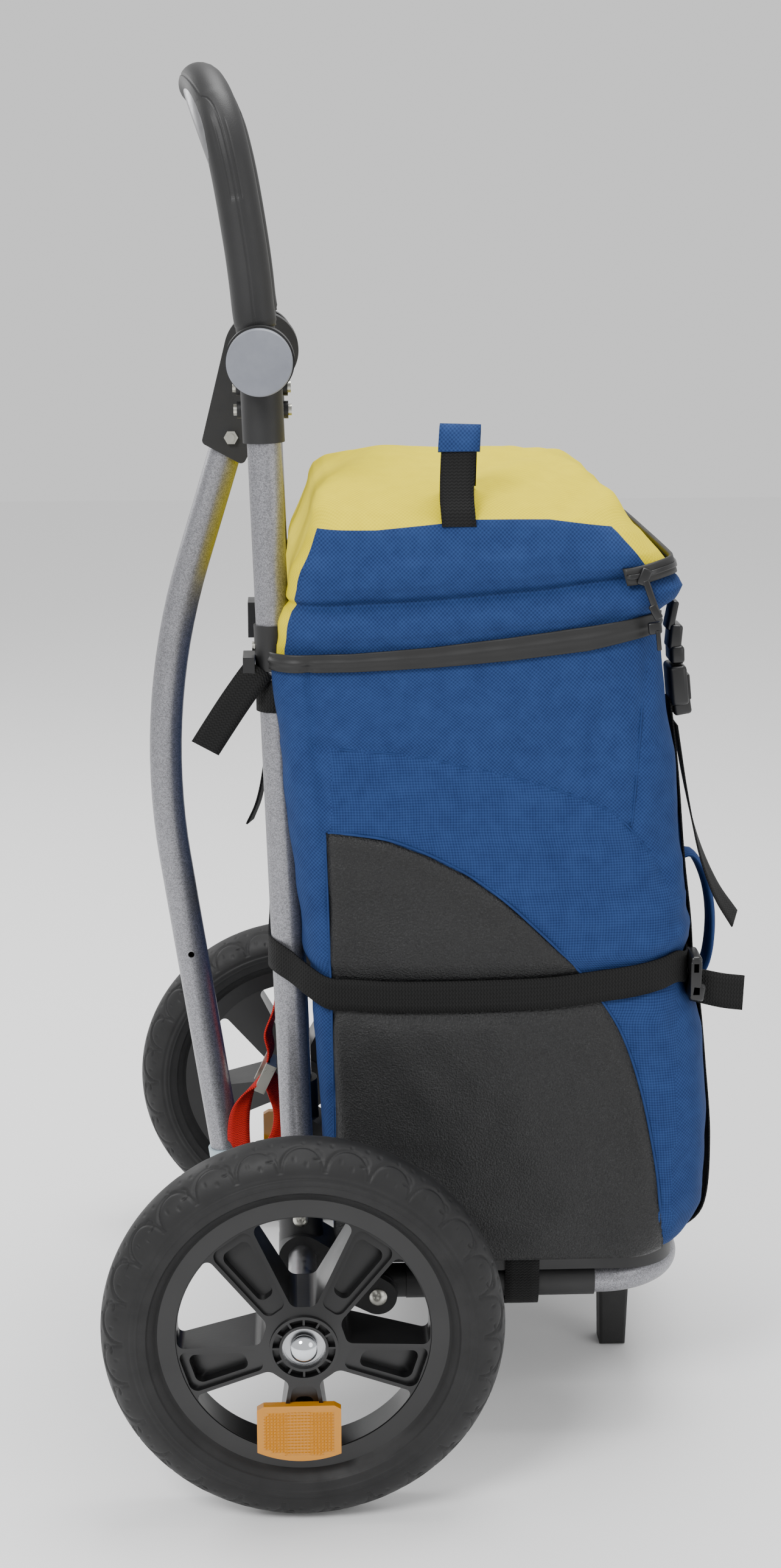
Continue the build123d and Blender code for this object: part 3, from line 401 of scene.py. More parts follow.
LEG = [(-26.6, 871), (-28.6, 883), (-30.5, 902), (-32.9, 922), (-35.7, 941), (-38.8, 960.5), (-42.2, 980),
       (-46.2, 999), (-51, 1017.5), (-57.2, 1033), (-62.5, 1041.5), (-66.5, 1044)]


GRIP_R = 15.5
GRIP_BEND = 62.0
STRIP = (92, 152)  # where the sunk strip runs, along each leg
# Degrees round the grip at which it has points, closer together at the strip's edges and the parting line.
GRIP_MARKS = [0, 1.5, 3, 6, 10, 14.5, 16, 17.5, 19, 22, 28, 36, 46, 58, 72, 88, 106, 126, 147, 165,
              176.5, 178.5, 180]


def handle_grip():
    """Soft grip over the bent core, with a parting line and a sunk strip outside each leg."""
    leg = through([at(x, 0, z) for x, z in LEG], 60)
    runs = [0.0]
    for p, q in zip(leg, leg[1:]):
        runs.append(runs[-1] + (q - p).length / MM)
    total = runs[-1]
    straight = total - GRIP_BEND

    def place(run):
        i = min(next((k for k, r in enumerate(runs) if r >= run), len(runs) - 1), len(runs) - 1)
        if i == 0:
            return leg[0]
        return leg[i - 1].lerp(leg[i], (run - runs[i - 1]) / (runs[i] - runs[i - 1]))

    half = []
    for k in range(60):
        run = straight * k / 60
        half.append((place(run) + Vector((0, -RAIL_Y * MM, 0)), 0.0, run))
    for k in range(26):
        a = math.pi / 2 * k / 26
        run = straight + GRIP_BEND * math.sin(a)
        half.append((place(run) + Vector((0, (-RAIL_Y + GRIP_BEND * (1 - math.cos(a))) * MM, 0)), a, run + 30 * a))
    flat = RAIL_Y - GRIP_BEND
    for k in range(12):
        half.append((place(total) + Vector((0, flat * (k / 12 - 1) * MM, 0)), math.pi / 2, total + 60 + 5 * k))
    spots = half + [(place(total), math.pi / 2, total + 130)]
    spots += [(Vector((p.x, -p.y, p.z)), math.pi - a, run) for p, a, run in half[::-1]]
    around = GRIP_MARKS + [-mark for mark in GRIP_MARKS[-2:0:-1]]
    bm = bmesh.new()
    rings = []
    for i, (spot, lean, run) in enumerate(spots):
        ahead = (spots[min(i + 1, len(spots) - 1)][0] - spots[max(i - 1, 0)][0]).normalized()
        up = Vector((place(min(run, total) + 0.01) - place(max(min(run, total) - 3, 0)))).normalized()
        out = Vector((0, -math.cos(lean), 0)) + up * math.sin(lean)
        out = (out - ahead * out.dot(ahead)).normalized()
        side = ahead.cross(out).normalized()
        ring = []
        for mark in around:
            size = GRIP_R
            on_strip = STRIP[0] < run < STRIP[1]
            if abs(mark) < 2.5 or abs(mark) > 177.5:
                size -= 0.45
            if on_strip and abs(mark) < 16.8:
                size -= 0.75 if STRIP[0] + 2 < run < STRIP[1] - 2 else 0.3
            elif on_strip and abs(mark) < 20:
                size += 0.25
            if run < 2.5:
                size -= 0.9
            a = math.radians(mark)
            ring.append(bm.verts.new(spot + (out * math.cos(a) + side * math.sin(a)) * size * MM))
        rings.append(ring)
    for first, second in zip(rings, rings[1:]):
        for k in range(len(around)):
            n = (k + 1) % len(around)
            bm.faces.new((first[k], first[n], second[n], second[k]))
    bm.faces.new(rings[0])
    bm.faces.new(rings[-1])
    bmesh.ops.recalc_face_normals(bm, faces=bm.faces)
    return finish_piece("grip_sleeve", bm, "handle", "grip_foam", ["handle_grip"])


handle_grip()


# ---- tyres

PITCHES = 26
GROOVE_MM = 1.7


def groove(along, over):
    """Depth in mm of the tread at a place: along one pitch from 0 to 1, over the shoulder in mm."""
    pitch = math.tau * 141 / PITCHES
    x = (along - 0.5) * pitch
    depth = 0.0
    arch = math.hypot(x / 16.2, (over - 31.0) / 20.0)
    if over < 31.0:
        depth = max(depth, 1.0 - abs(arch - 1.0) * 17.0 / GROOVE_MM)
    hook = abs(math.hypot(x - 10.5, over - 17.5) - 4.0)
    if x > 9.0:
        depth = max(depth, 1.0 - hook / (GROOVE_MM * 0.7))
    for sx, sy in ((-6.0, 21.0), (3.0, 25.0), (-13.0, 9.0), (1.0, 8.0), (12.0, 7.0)):
        depth = max(depth, 1.0 - math.hypot((x - sx) * 1.6, (over - sy) * 0.5) / 1.5)
    return max(depth, 0.0) * 1.15


def side_ribs(along, over):
    """Fine radial ribs and the ring lines on the sidewall, in mm of height."""
    height = 0.0
    if 36.5 < over < 38.5:
        height += 0.35 * (0.5 + 0.5 * math.cos(math.tau * along * 13))
    for ring, rise in ((35.0, -0.6), (40.5, 0.5), (47.5, 0.8)):
        height += rise * max(0.0, 1.0 - abs(over - ring) / 1.2)
    return height


# Degrees round the casing's section, from the middle of the tread to the bead.
TYRE_ANGLES = [0, 4, 8] + [10 + 1.7 * i for i in range(41)] + [82, 85, 88, 89, 91, 92, 93.5, 95, 98, 99, 100,
                                                               102, 108, 115, 116.5, 118, 122, 128, 135]


def tyre(side):
    """Pneumatic tyre with a scalloped road tread, spun from one pitch."""
    name = f"tyre_{side}"
    low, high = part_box(name)
    hub = (low + high) / 2
    outer = (high.z - low.z) / 2 / MM
    minor = (high.y - low.y) / 2 / MM
    major = outer - minor
    angles = [math.radians(a) for a in TYRE_ANGLES]
    profile = [(major + minor * math.cos(a), minor * math.sin(a), minor * a) for a in angles]
    fine = profile + [(104.5, 10.4, 62.0), (102.0, 10.0, 66.0)]
    bm = bmesh.new()
    pitch_turn = math.tau / PITCHES
    line = [bm.verts.new((r * MM, y * MM, 0)) for r, y, _ in fine]
    edges = [bm.edges.new(pair) for pair in zip(line, line[1:])]
    bmesh.ops.spin(bm, geom=line + edges, cent=(0, 0, 0), axis=(0, 1, 0), angle=pitch_turn, steps=30)
    for vert in bm.verts:
        radius = math.hypot(vert.co.x, vert.co.z)
        turn = math.atan2(-vert.co.z, vert.co.x) / pitch_turn
        t = min(fine, key=lambda spot: abs(spot[0] * MM - radius) + abs(spot[1] * MM - vert.co.y))[2]
        if t > 56 or turn < -0.5:
            continue
        rise = side_ribs(turn, t) - groove(min(max(turn, 0.0), 1.0), t)
        out = Vector((vert.co.x, 0, vert.co.z)).normalized() * (radius - major * MM)
        out.y = vert.co.y
        vert.co += out.normalized() * rise * MM
    bmesh.ops.mirror(bm, geom=bm.verts[:] + bm.edges[:] + bm.faces[:], axis="Y", merge_dist=0.00005)
    bmesh.ops.spin(bm, geom=bm.verts[:] + bm.edges[:] + bm.faces[:], cent=(0, 0, 0), axis=(0, 1, 0),
                   angle=math.tau, steps=PITCHES, use_duplicate=True)
    bmesh.ops.remove_doubles(bm, verts=bm.verts[:], dist=0.00008)
    bmesh.ops.recalc_face_normals(bm, faces=bm.faces[:])
    bmesh.ops.translate(bm, vec=hub, verts=bm.verts)
    return finish_piece(f"{name}_casing", bm, f"wheel_{side}", "tyre", [name])


for side_name in SIDES:
    tyre(side_name)


# ---- bag

W = 166.0
BAG_BACK = level([(150, 33), (160, 29), (187, 26), (221, 24), (253, 20), (286, 15), (350, 11), (366, 8), (380, 6),
                  (394, 7), (413, 6), (475, -2), (536, -9), (597, -16), (626, -18), (660, -19), (715, -14),
                  (740, -4)])
BAG_FRONT = level([(150, 283), (155, 293), (160, 301), (167, 307), (175, 313), (188, 318), (202, 320), (235, 319),
                   (269, 317), (302, 314), (335, 311), (352, 308), (367, 302), (380, 300), (393, 300), (408, 302),
                   (431, 299), (463, 297), (495, 294), (526, 289), (557, 285), (587, 279), (612, 275), (648, 271),
                   (690, 270), (740, 268)])
PANEL = [(22, 503), (45, 501), (70, 496.5), (100, 484), (129, 468), (155, 449), (177, 429), (197, 409), (213, 391),
         (230, 368), (244, 346), (255, 319), (264, 288), (271, 256), (277, 223), (280, 196), (284, 170)]
ARC = [(14, 568), (40, 566), (70, 563), (100, 558), (128, 551), (160, 544), (187, 536), (212, 527), (234.5, 517),
       (252, 500), (265, 483), (275, 465), (284, 446)]
SEAM = [(8, 628), (13, 570), (19.7, 502), (22.7, 418), (24.5, 323), (26.3, 227), (27.3, 165)]
FRONT_SEAM = [(262, 643), (258, 612), (254, 560), (250.5, 510.6), (248.5, 506)]
ZIP_LOW = level([(-20, 626), (41, 626.5), (99, 629), (156, 634), (214, 641), (260, 651.5), (300, 655)])
ZIP_HIGH = level([(-20, 636), (41, 637), (98.5, 641), (156, 648), (213.5, 656), (257, 663), (300, 667)])
FOLD = level([(-20, 672), (41, 673.5), (93, 676), (138, 680), (184, 684), (236, 692), (300, 694)])
EDGE = level([(-20, 722), (-5, 725), (13, 729), (59, 728.5), (105, 733), (127, 736), (185, 736), (213.5, 732),
              (250, 728), (300, 726)])
ARC_LINE = level(ARC)
BELT = level([(-30, 397), (-8, 390), (10, 379), (19, 376.5), (70, 373), (130, 372.5), (189, 374.5), (249, 382),
              (290, 391), (305, 381)])
REAR_R, FRONT_R = 24.0, 40.0


def nearest(curve, x, z):
    """Distance in mm from a place on the bag's side to a curve."""
    best = 1e9
    for (x0, z0), (x1, z1) in zip(curve, curve[1:]):
        dx, dz = x1 - x0, z1 - z0
        t = min(max(((x - x0) * dx + (z - z0) * dz) / (dx * dx + dz * dz), 0.0), 1.0)
        best = min(best, math.hypot(x - x0 - dx * t, z - z0 - dz * t))
    return best


def soft(x, y, z, size, seed=0.0):
    """Smooth noise from -1 to 1 in lumps of about size mm."""
    return noise.noise(Vector((x / size + seed, y / size, z / size)))


def relief(x, y, z):
    """How far in mm the cloth stands out of the bag's plain shape at a place."""
    near_side = abs(y) > 120
    rise = 3.4 * soft(x, y, z, 80.0) + 1.3 * soft(x, y, z, 27.0, 7.0)
    if near_side:
        middle = math.sin(math.pi * min(max((x - 15) / 290, 0), 1))
        rise += 4.5 * middle * math.sin(math.pi * min(max((z - 160) / 480, 0), 1))
        for curve, deep, wide in ((SEAM, 2.2, 3.0), (ARC, 1.2, 3.0), (PANEL, 1.3, 3.0), (FRONT_SEAM, 1.6, 3.5)):
            d = nearest(curve, x, z)
            if d < 30:
                rise += 0.8 * math.exp(-((d - 9) / 7.0) ** 2) - deep * math.exp(-(d / wide) ** 2)
        rise += 2.2 * math.sin((x * 0.55 + z) / 23.0 + 1.5 * soft(x, y, z, 90.0, 3.0)) * math.exp(
            -((z - 600) / 28.0) ** 2) * math.exp(-((x - 30) / 60.0) ** 2)
        rise += 3.0 * math.sin((z - 0.4 * x) / 15.0) * math.exp(-((x - 16) / 16.0) ** 2) * math.exp(
            -((z - 395) / 42.0) ** 2)
        rise += 1.8 * math.sin((x + 0.5 * z) / 13.0) * math.exp(-((z - 176) / 14.0) ** 2)
        rise += 3.2 * soft(x * 1.3, y, z * 0.35, 30.0, 9.0) * math.exp(-((x - 292) / 34.0) ** 2)
    else:
        rise += 4.0 * math.cos(math.pi * y / 330) * (1 if x > 150 else -0.2)
        rise += 2.4 * math.sin(z / 21.0 + y / 60.0) * math.exp(-((z - 420) / 90.0) ** 2) * (x > 150)
        rise += 2.2 * math.sin((z + 1.3 * abs(y)) / 24.0) * math.exp(-((z - 250) / 70.0) ** 2) * (x > 150)
    if near_side:
        for ax, az, bx, bz, high, wide in ((26, 604, 70, 520, 2.6, 8.0), (44, 608, 105, 540, 2.2, 9.0),
                                           (230, 628, 205, 560, 2.4, 9.0), (290, 470, 262, 400, 2.8, 9.0),
                                           (300, 420, 236, 398, 2.2, 7.0), (60, 360, 120, 250, 2.0, 14.0),
                                           (290, 180, 240, 215, 3.0, 9.0), (40, 170, 90, 210, 2.6, 10.0),
                                           (150, 362, 170, 280, 1.8, 12.0), (275, 352, 300, 270, 2.6, 9.0)):
            dx, dz = bx - ax, bz - az
            t = min(max(((x - ax) * dx + (z - az) * dz) / (dx * dx + dz * dz), 0.0), 1.0)
            rise += high * (1 - 0.8 * t) * math.exp(-(math.hypot(x - ax - dx * t, z - az - dz * t) / wide) ** 2)
        if z < ARC_LINE(x):
            rise += 0.9
    held = math.exp(-((z - BELT(x)) / 19.0) ** 4)
    rise = rise * (1 - held) - 2.5 * held
    if z < 176:
        rise *= max((z - 150) / 26.0, 0.0)
    return rise


def outline(back, front, half, rear_r, front_r, count):
    """A round-cornered outline as (x, y, outward x, outward y), from the middle of the back."""
    sides, rear, ahead, corner = count
    spots = [(back, -(half - rear_r) * i / rear, -1, 0) for i in range(rear)]
    turns = [math.pi / 2 * i / corner for i in range(corner)]
    for a in turns:
        spots.append((back + rear_r * (1 - math.cos(a)), -(half - rear_r) - rear_r * math.sin(a),
                      -math.cos(a), -math.sin(a)))
    for i in range(sides):
        spots.append((back + rear_r + (front - front_r - back - rear_r) * i / sides, -half, 0, -1))
    for a in turns:
        spots.append((front - front_r * (1 - math.sin(a)), -(half - front_r) - front_r * math.cos(a),
                      math.sin(a), -math.cos(a)))
    spots += [(front, -(half - front_r) * (1 - i / ahead), 1, 0) for i in range(ahead + 1)]
    return spots + [(x, -y, nx, -ny) for x, y, nx, ny in spots[-2:0:-1]]


def on_side(x, z, lift, side):
    """A place on one side of the bag, standing lift mm out of the cloth."""
    back, front = BAG_BACK(z), BAG_FRONT(z)
    half, nx, ny = W, 0.0, 1.0
    if x < back + REAR_R:
        s = min((back + REAR_R - x) / REAR_R, 1.0)
        half, nx, ny = W - REAR_R + REAR_R * math.sqrt(1 - s * s), -s, math.sqrt(1 - s * s)
    elif x > front - FRONT_R:
        s = min((x - front + FRONT_R) / FRONT_R, 1.0)
        half, nx, ny = W - FRONT_R + FRONT_R * math.sqrt(1 - s * s), s, math.sqrt(1 - s * s)
    out = relief(x, side * half, z) + lift
    return at(x + nx * out, side * (half + ny * out), z)


def loft(name, heights, slot, nodes, body, shape, extra):
    """A skin of rings on a flat bottom, with cloth coordinates in metres; shape gives the ring at a height."""
    bm = bmesh.new()
    cloth = bm.loops.layers.uv.new("cloth")
    rows, runs = [], []
    for z in heights:
        spots = shape(z)
        rows.append([bm.verts.new(p) for p in spots])
        run = [0.0]
        for p, q in zip(spots, spots[1:] + spots[:1]):
            run.append(run[-1] + (q - p).length)
        runs.append(run)
    for j in range(len(rows) - 1):
        for i in range(len(rows[j])):
            k = (i + 1) % len(rows[j])
            face = bm.faces.new((rows[j][i], rows[j][k], rows[j + 1][k], rows[j + 1][i]))
            middle = face.calc_center_median()
            x, z = (middle.x - AXLE.x) / MM, middle.z / MM
            low_panel = abs(middle.y) > 0.14 and 25 < x < 290 and z < ARC_LINE(x)
            for loop, (row, place) in zip(face.loops, ((j, i), (j, i + 1), (j + 1, i + 1), (j + 1, i))):
                u, v = runs[row][place], heights[row] * MM
                loop[cloth].uv = ((u - v) * 0.7071, (u + v) * 0.7071) if low_panel else (u, v)
            if z < 159.5:
                face.material_index = 1
    middle = sum((v.co for v in rows[0]), Vector()) / len(rows[0])
    inner = rows[0]
    for t in (0.9, 0.6, 0.3):
        ring = [bm.verts.new(middle.lerp(v.co, t)) for v in rows[0]]
        for i in range(len(ring)):
            k = (i + 1) % len(ring)
            bm.faces.new((inner[i], ring[i], ring[k], inner[k])).material_index = 1
        inner = ring
    bm.faces.new(inner).material_index = 1
    bmesh.ops.recalc_face_normals(bm, faces=bm.faces)
    return finish_piece(name, bm, body, slot, nodes, extra=extra)


def body_ring(z):
    """The bag body's cloth at a height; its top edge rises towards the front with the zip."""
    half = W - 6.0 * max((172 - z) / 22, 0) ** 2
    spots = []
    for x, y, nx, ny in outline(BAG_BACK(z), BAG_FRONT(z), half, REAR_R, FRONT_R, (76, 30, 30, 14)):
        share = min(max((z - 560) / 85.0, 0.0), 1.0)
        high = z + ((ZIP_LOW(x) + ZIP_HIGH(x)) / 2 - 645) * share * share * (3 - 2 * share)
        out = relief(x, y, high)
        spots.append(at(x + nx * out, y + ny * out, high))
    return spots


heights = [152.5 + 1.5 * k for k in range(14)] + [176.5 + 3.55 * k for k in range(133)]
bag = loft("bag_body", heights, "blue_fabric", ["bag_shell"], "frame", body_ring, ["panel"])
walled(bag, 1.5)


def sewn_on(name, grid, side, slot, thick_mm):
    """Cloth through a grid of places on one side of the bag, facing outwards."""
    bm = bmesh.new()
    cloth = bm.loops.layers.uv.new("cloth")
    grid = [[bm.verts.new(place) for place in line] for line in grid]
    for first, second in zip(grid, grid[1:]):
        for j in range(len(first) - 1):
            face = bm.faces.new((first[j], second[j], second[j + 1], first[j + 1]))
            for loop in face.loops:
                loop[cloth].uv = (loop.vert.co.x, loop.vert.co.z)
    bmesh.ops.recalc_face_normals(bm, faces=bm.faces)
    if sum(f.normal.y * f.calc_area() for f in bm.faces) * side < 0:
        bmesh.ops.reverse_faces(bm, faces=bm.faces)
    return walled(finish_piece(name, bm, "frame", slot, ["bag_shell"]), thick_mm)


def panel_piece(side_name, side):
    """The black lower panel, sewn over the side up to its curved edge."""
    top = level(PANEL)
    rear_edge = level([(z, x) for x, z in reversed(SEAM)])
    first, last, foot, columns, rows = 25.5, 283.5, 154, 88, 96
    grid = []
    for i in range(columns + 1):
        x = first + (last - first) * i / columns
        line = []
        for j in range(rows + 1):
            z = foot + (top(x) - foot) * j / rows
            left = rear_edge(z) + 1.0
            line.append(on_side(left + (x - first) * (last - left) / (last - first), z, 0.7, side))
        grid.append(line)
    return sewn_on(f"bag_panel_{side_name}", grid, side, "panel", 1.2)


def side_piping(name, curve, side, radius, slot, lift=0.2):
    """Piping or a stitched fold along a curve on the bag's side."""
    spots = through([on_side(x, z, lift, side) for x, z in curve], 90)
    return tube(name, spots, radius, "frame", slot, ["bag_shell"], 8)


bag_pieces = [bag]
for side_name, sign in SIDES.items():
    bag_pieces.append(panel_piece(side_name, sign))
    bag_pieces.append(side_piping(f"panel_seam_{side_name}", PANEL, sign, 1.1, "blue_fabric", 0.9))
    bag_pieces.append(side_piping(f"side_seam_{side_name}", [(x, z) for x, z in SEAM if z > 200], sign, 0.8,
                                  "blue_fabric", 0.1))
    bag_pieces.append(side_piping(f"arc_seam_{side_name}", ARC, sign, 0.9, "blue_fabric", 0.2))
    bag_pieces.append(side_piping(f"front_seam_{side_name}", FRONT_SEAM, sign, 0.8, "blue_fabric", 0.1))


def zip_band(side_name, side):
    """Coated zip along the top of one side, with its ridge of teeth."""
    columns, rows = 150, 10
    grid = []
    for i in range(columns + 1):
        x = -17.0 + 284.0 * i / columns
        line = []
        for j in range(rows + 1):
            t = j / rows
            z = ZIP_LOW(x) - 1.5 + (ZIP_HIGH(x) - ZIP_LOW(x) + 3.0) * t
            ridge = 0.9 * math.exp(-((t - 0.5) / 0.13) ** 2) - 0.5 * math.exp(-((abs(t - 0.5) - 0.24) / 0.07) ** 2)
            line.append(on_side(x, z, 3.4 + ridge + 0.4 * math.sin(x / 17.0), side))
        grid.append(line)
    return sewn_on(f"top_zip_{side_name}", grid, side, "zip", 1.6)


bag_pieces += [zip_band(*each) for each in SIDES.items()]


# Rows of (height, back, front, half width) up the lid; heights shift with the zip, the fold and the edge.
LID = [(650, -15, 269, 164), (656, -15, 273, 165), (663, -13, 281, 168), (671, -11, 287, 168), (680, -8, 284, 163),
       (684, -7, 281, 165), (692, -4, 276, 168), (705, -1, 268, 168.5), (718, 4, 259, 166.5), (726, 7, 254, 164.5),
       (731, 9, 250, 162), (735, 11, 247, 157), (741, 13, 243, 148), (747, 16, 239, 134), (754, 24, 232, 110),
       (761, 42, 216, 78), (765.5, 62, 196, 44), (767.5, 88, 168, 14)]
FOLD_ROW, EDGE_ROW = 680, 731


def lid_wave(x, y, z, crown):
    """Folds and slack in the lid's cloth, in mm."""
    rise = 1.3 * soft(x, y, z, 60.0, 11.0) + 0.8 * soft(x, y, z, 22.0, 13.0)
    if crown:
        for ax, ay, bx, by, high, wide in ((60, 20, 14, 140, 3.2, 20.0), (205, 20, 246, 138, 3.6, 17.0),
                                           (120, 150, 176, 60, 4.0, 14.0), (80, 0, 180, 0, 2.0, 34.0),
                                           (120, 150, 80, 40, 3.0, 18.0), (200, 150, 240, 60, -4.0, 12.0)):
            for flip in (1, -1):
                dx, dy = bx - ax, (by - ay) * flip
                t = min(max(((x - ax) * dx + (y - ay * flip) * dy) / (dx * dx + dy * dy), 0.0), 1.0)
                d = math.hypot(x - ax - dx * t, y - ay * flip - dy * t)
                rise += high * math.exp(-(d / wide) ** 2)
        return rise
    rise += 1.8 * math.exp(-((z - FOLD(x) - 20) / 12.0) ** 2) * (1 + 0.8 * soft(x, y, z, 40.0, 17.0))
    rise += 2.2 * math.exp(-((z - FOLD(x) + 16) / 9.0) ** 2) * (1 + 0.7 * soft(x, y, z, 32.0, 19.0))
    rise -= 3.4 * math.exp(-((z - FOLD(x)) / 2.6) ** 2)
    rise += 1.6 * math.sin((x - 0.7 * z) / 11.0) * math.exp(-((x - 225) / 36.0) ** 2)
    rise += 1.2 * math.sin((x + 0.8 * z) / 14.0) * math.exp(-((x - 20) / 30.0) ** 2)
    return rise


def lid_piece():
    """Blue side walls and yellow crown, front and back, hinged along the back edge."""
    bm = bmesh.new()
    cloth = bm.loops.layers.uv.new("cloth")
    sides, rear, ahead, corner = 76, 26, 26, 14
    table = []
    for a, b in zip(LID, LID[1:]):
        steps = max(1, round((b[0] - a[0]) / 1.5)) if b[0] <= EDGE_ROW else max(4, round((a[3] - b[3]) / 4))
        table += [[p + (q - p) * k / steps for p, q in zip(a, b)] for k in range(steps)]
    table.append(list(LID[-1]))
    rows = []
    for z, back, front, half in table:
        plan = outline(back, front, half, min(28.0, half * 0.7), min(34.0, half * 0.8),
                       (sides, rear, ahead, corner))
        line = []
        for x, y, nx, ny in plan:
            low, fold, edge = (ZIP_LOW(x) + ZIP_HIGH(x)) / 2 + 1.0, FOLD(x), EDGE(x)
            if z < FOLD_ROW:
                high = low + (fold - low) * (z - 650) / (FOLD_ROW - 650)
            elif z < EDGE_ROW:
                high = fold + (edge - fold) * (z - FOLD_ROW) / (EDGE_ROW - FOLD_ROW)
            else:
                high = z + (edge - EDGE_ROW) * max(1 - (z - EDGE_ROW) / 20, 0)
            crown = min(max((z - EDGE_ROW) / 8, 0.0), 1.0)
            out = lid_wave(x, y, high, False) * (1 - crown) * min(max((z - 652) / 10, 0.0), 1.0)
            up = lid_wave(x, y, high, True) * crown * min(1.0, (z - EDGE_ROW) / 14)
            line.append(bm.verts.new(at(x + nx * out, y + ny * out, high + up)))
        rows.append(line)
    count = len(rows[0])
    blue_low, blue_high = rear + round(corner * 0.45), rear + corner + sides + round(corner * 0.3)
    for j in range(len(rows) - 1):
        z = table[j][0]
        for i in range(count):
            k = (i + 1) % count
            mirrored = i if i < count / 2 else count - 1 - i
            face = bm.faces.new((rows[j][i], rows[j][k], rows[j + 1][k], rows[j + 1][i]))
            flank = blue_low <= mirrored < blue_high and z < EDGE_ROW - 0.1
            skirt = mirrored >= blue_low and z < 690
            face.material_index = 0 if flank or skirt else 1
            for loop in face.loops:
                co = loop.vert.co
                loop[cloth].uv = (co.x, co.y) if z >= EDGE_ROW else (
                    (co.x, co.z) if rear + corner * 0.5 <= mirrored < rear + corner * 1.5 + sides else (co.y, co.z))
    top = bm.faces.new(rows[-1])
    top.material_index = 1
    for loop in top.loops:
        loop[cloth].uv = (loop.vert.co.x, loop.vert.co.y)
    bmesh.ops.recalc_face_normals(bm, faces=bm.faces)
    piece = finish_piece("bag_top", bm, "lid", "blue_fabric", ["bag_lid"], extra=["yellow_fabric"])
    return walled(piece, 1.4)


lid = lid_piece()
lid_pieces = [lid]


# ---- webbing

def strap(name, places, across, width, body, nodes, count=60, slot="webbing", **more):
    """Webbing through places given in millimetres."""
    spots = through([at(*p) for p in places], count)
    return ribbon(name, spots, across, width, body, slot, nodes, **more)


def turning(*ways):
    """A width direction that turns smoothly through several."""
    known = [Vector(w) for w in ways]

    def way(share):
        spot = share * (len(known) - 1)
        low = min(int(spot), len(known) - 2)
        return known[low].lerp(known[low + 1], spot - low)
    return way


UP = Vector((0, 0, 1))


def belt(side):
    """Half of the compression belt: from the front round one side of the bag and behind the rail."""
    places = [(303.5, 0, 381), (304.5, -60, 381), (303.5, -110, 383)]
    for x in (297, 288, 275, 255, 225, 190, 150, 110, 70, 40, 22):
        spot = on_side(x, BELT(x), 4.2, side)
        places.append(((spot.x - AXLE.x) / MM, -abs(spot.y) / MM, BELT(x)))
    places += [(6, -157, 384), (-6, -146, 391), (-17, -137, 396), (-22.6, -126, 398), (-23, -110, 398),
               (-22.5, -60, 399), (-22.5, 0, 399)]
    places = [(x, -y * side, z) for x, y, z in places]
    return strap(f"belt_{'left' if side > 0 else 'right'}", places, UP, 25.0, "frame", ["compression_strap"],
                 150, thick=1.8)


straps = [belt(sign) for sign in SIDES.values()]

# Name, places, directions of the width along it, width, CAD node, count of places, thickness, material.
LOOSE_STRAPS = [
    ("belt_tail", [(302, -141, 372), (312, -143.5, 370), (328, -144, 366.5), (344, -142.5, 364)],
     [(0, 0, 1), (0.05, 0.1, 1), (0.08, 0.25, 1)], 27.0, "compression_tail", 30, 2.2, "webbing"),
    ("front_strap_down", [(300, -109.5, 155), (322, -109.5, 178), (325.5, -109.5, 235), (319.5, -109.5, 302),
                          (314, -109.5, 350), (308, -109.5, 381), (304.5, -109.5, 420), (298, -109.5, 470),
                          (291, -109.5, 540), (284, -109.5, 592)],
     [(0, 1, 0), (0, 1, 0)], 25.0, "front_strap", 90, 1.4, "webbing"),
    ("front_strap_tail", [(290, -109, 572), (300, -109, 520), (311, -110, 475), (325, -112, 440), (341, -113, 415)],
     [(0, 1, 0), (0.1, 1, 0.1), (0.35, 1, 0.3)], 24.0, "front_strap", 50, 1.4, "webbing"),
    ("anchor_tail_right", [(-27, -136, 622), (-33, -140, 616), (-46, -141, 598), (-58, -142, 580), (-69, -143, 563)],
     [(0.8, -0.2, -0.55), (0.83, 0, -0.56), (0.86, 0.1, -0.5)], 23.0, "anchor_straps", 40, 1.8, "webbing"),
    ("anchor_tail_left", [(-22, 126, 560), (-24, 126, 520), (-28, 126, 480), (-33, 125, 455), (-41, 124, 436)],
     [(0, 1, 0), (0.1, 1, 0), (0.3, 1, 0)], 20.0, "anchor_straps", 50, 1.6, "webbing"),
    ("red_strap_upper", [(-17, 0, 330), (-19, -2, 310), (-26, -3, 288), (-24, -1, 270), (-29, 0, 252)],
     [(0.2, 1, 0), (0.35, 1, 0), (0.15, 1, 0)], 19.0, "safety_strap", 50, 1.4, "red_webbing"),
    ("red_strap_front", [(-30, -6, 249), (-42, -9, 240), (-50, -11, 222), (-52, -11, 200), (-50, -9, 180),
                         (-42, -4, 166)],
     [(0.3, 1, 0.4), (0.9, 0.4, 0.3), (1, 0.1, 0.1), (1, 0, 0)], 19.0, "safety_strap", 60, 1.4, "red_webbing"),
    ("red_strap_rear", [(-27, 6, 246), (-20, 9, 230), (-14, 9, 210), (-18, 8, 190), (-34, 4, 172)],
     [(0.6, 1, 0.2), (1, 0.5, 0), (1, 0.3, 0)], 19.0, "safety_strap", 50, 1.4, "red_webbing"),
]
for name, places, ways, width, cad_node, count, thick, slot in LOOSE_STRAPS:
    straps.append(strap(name, places, turning(*ways), width, "frame", [cad_node], count, slot, thick=thick))


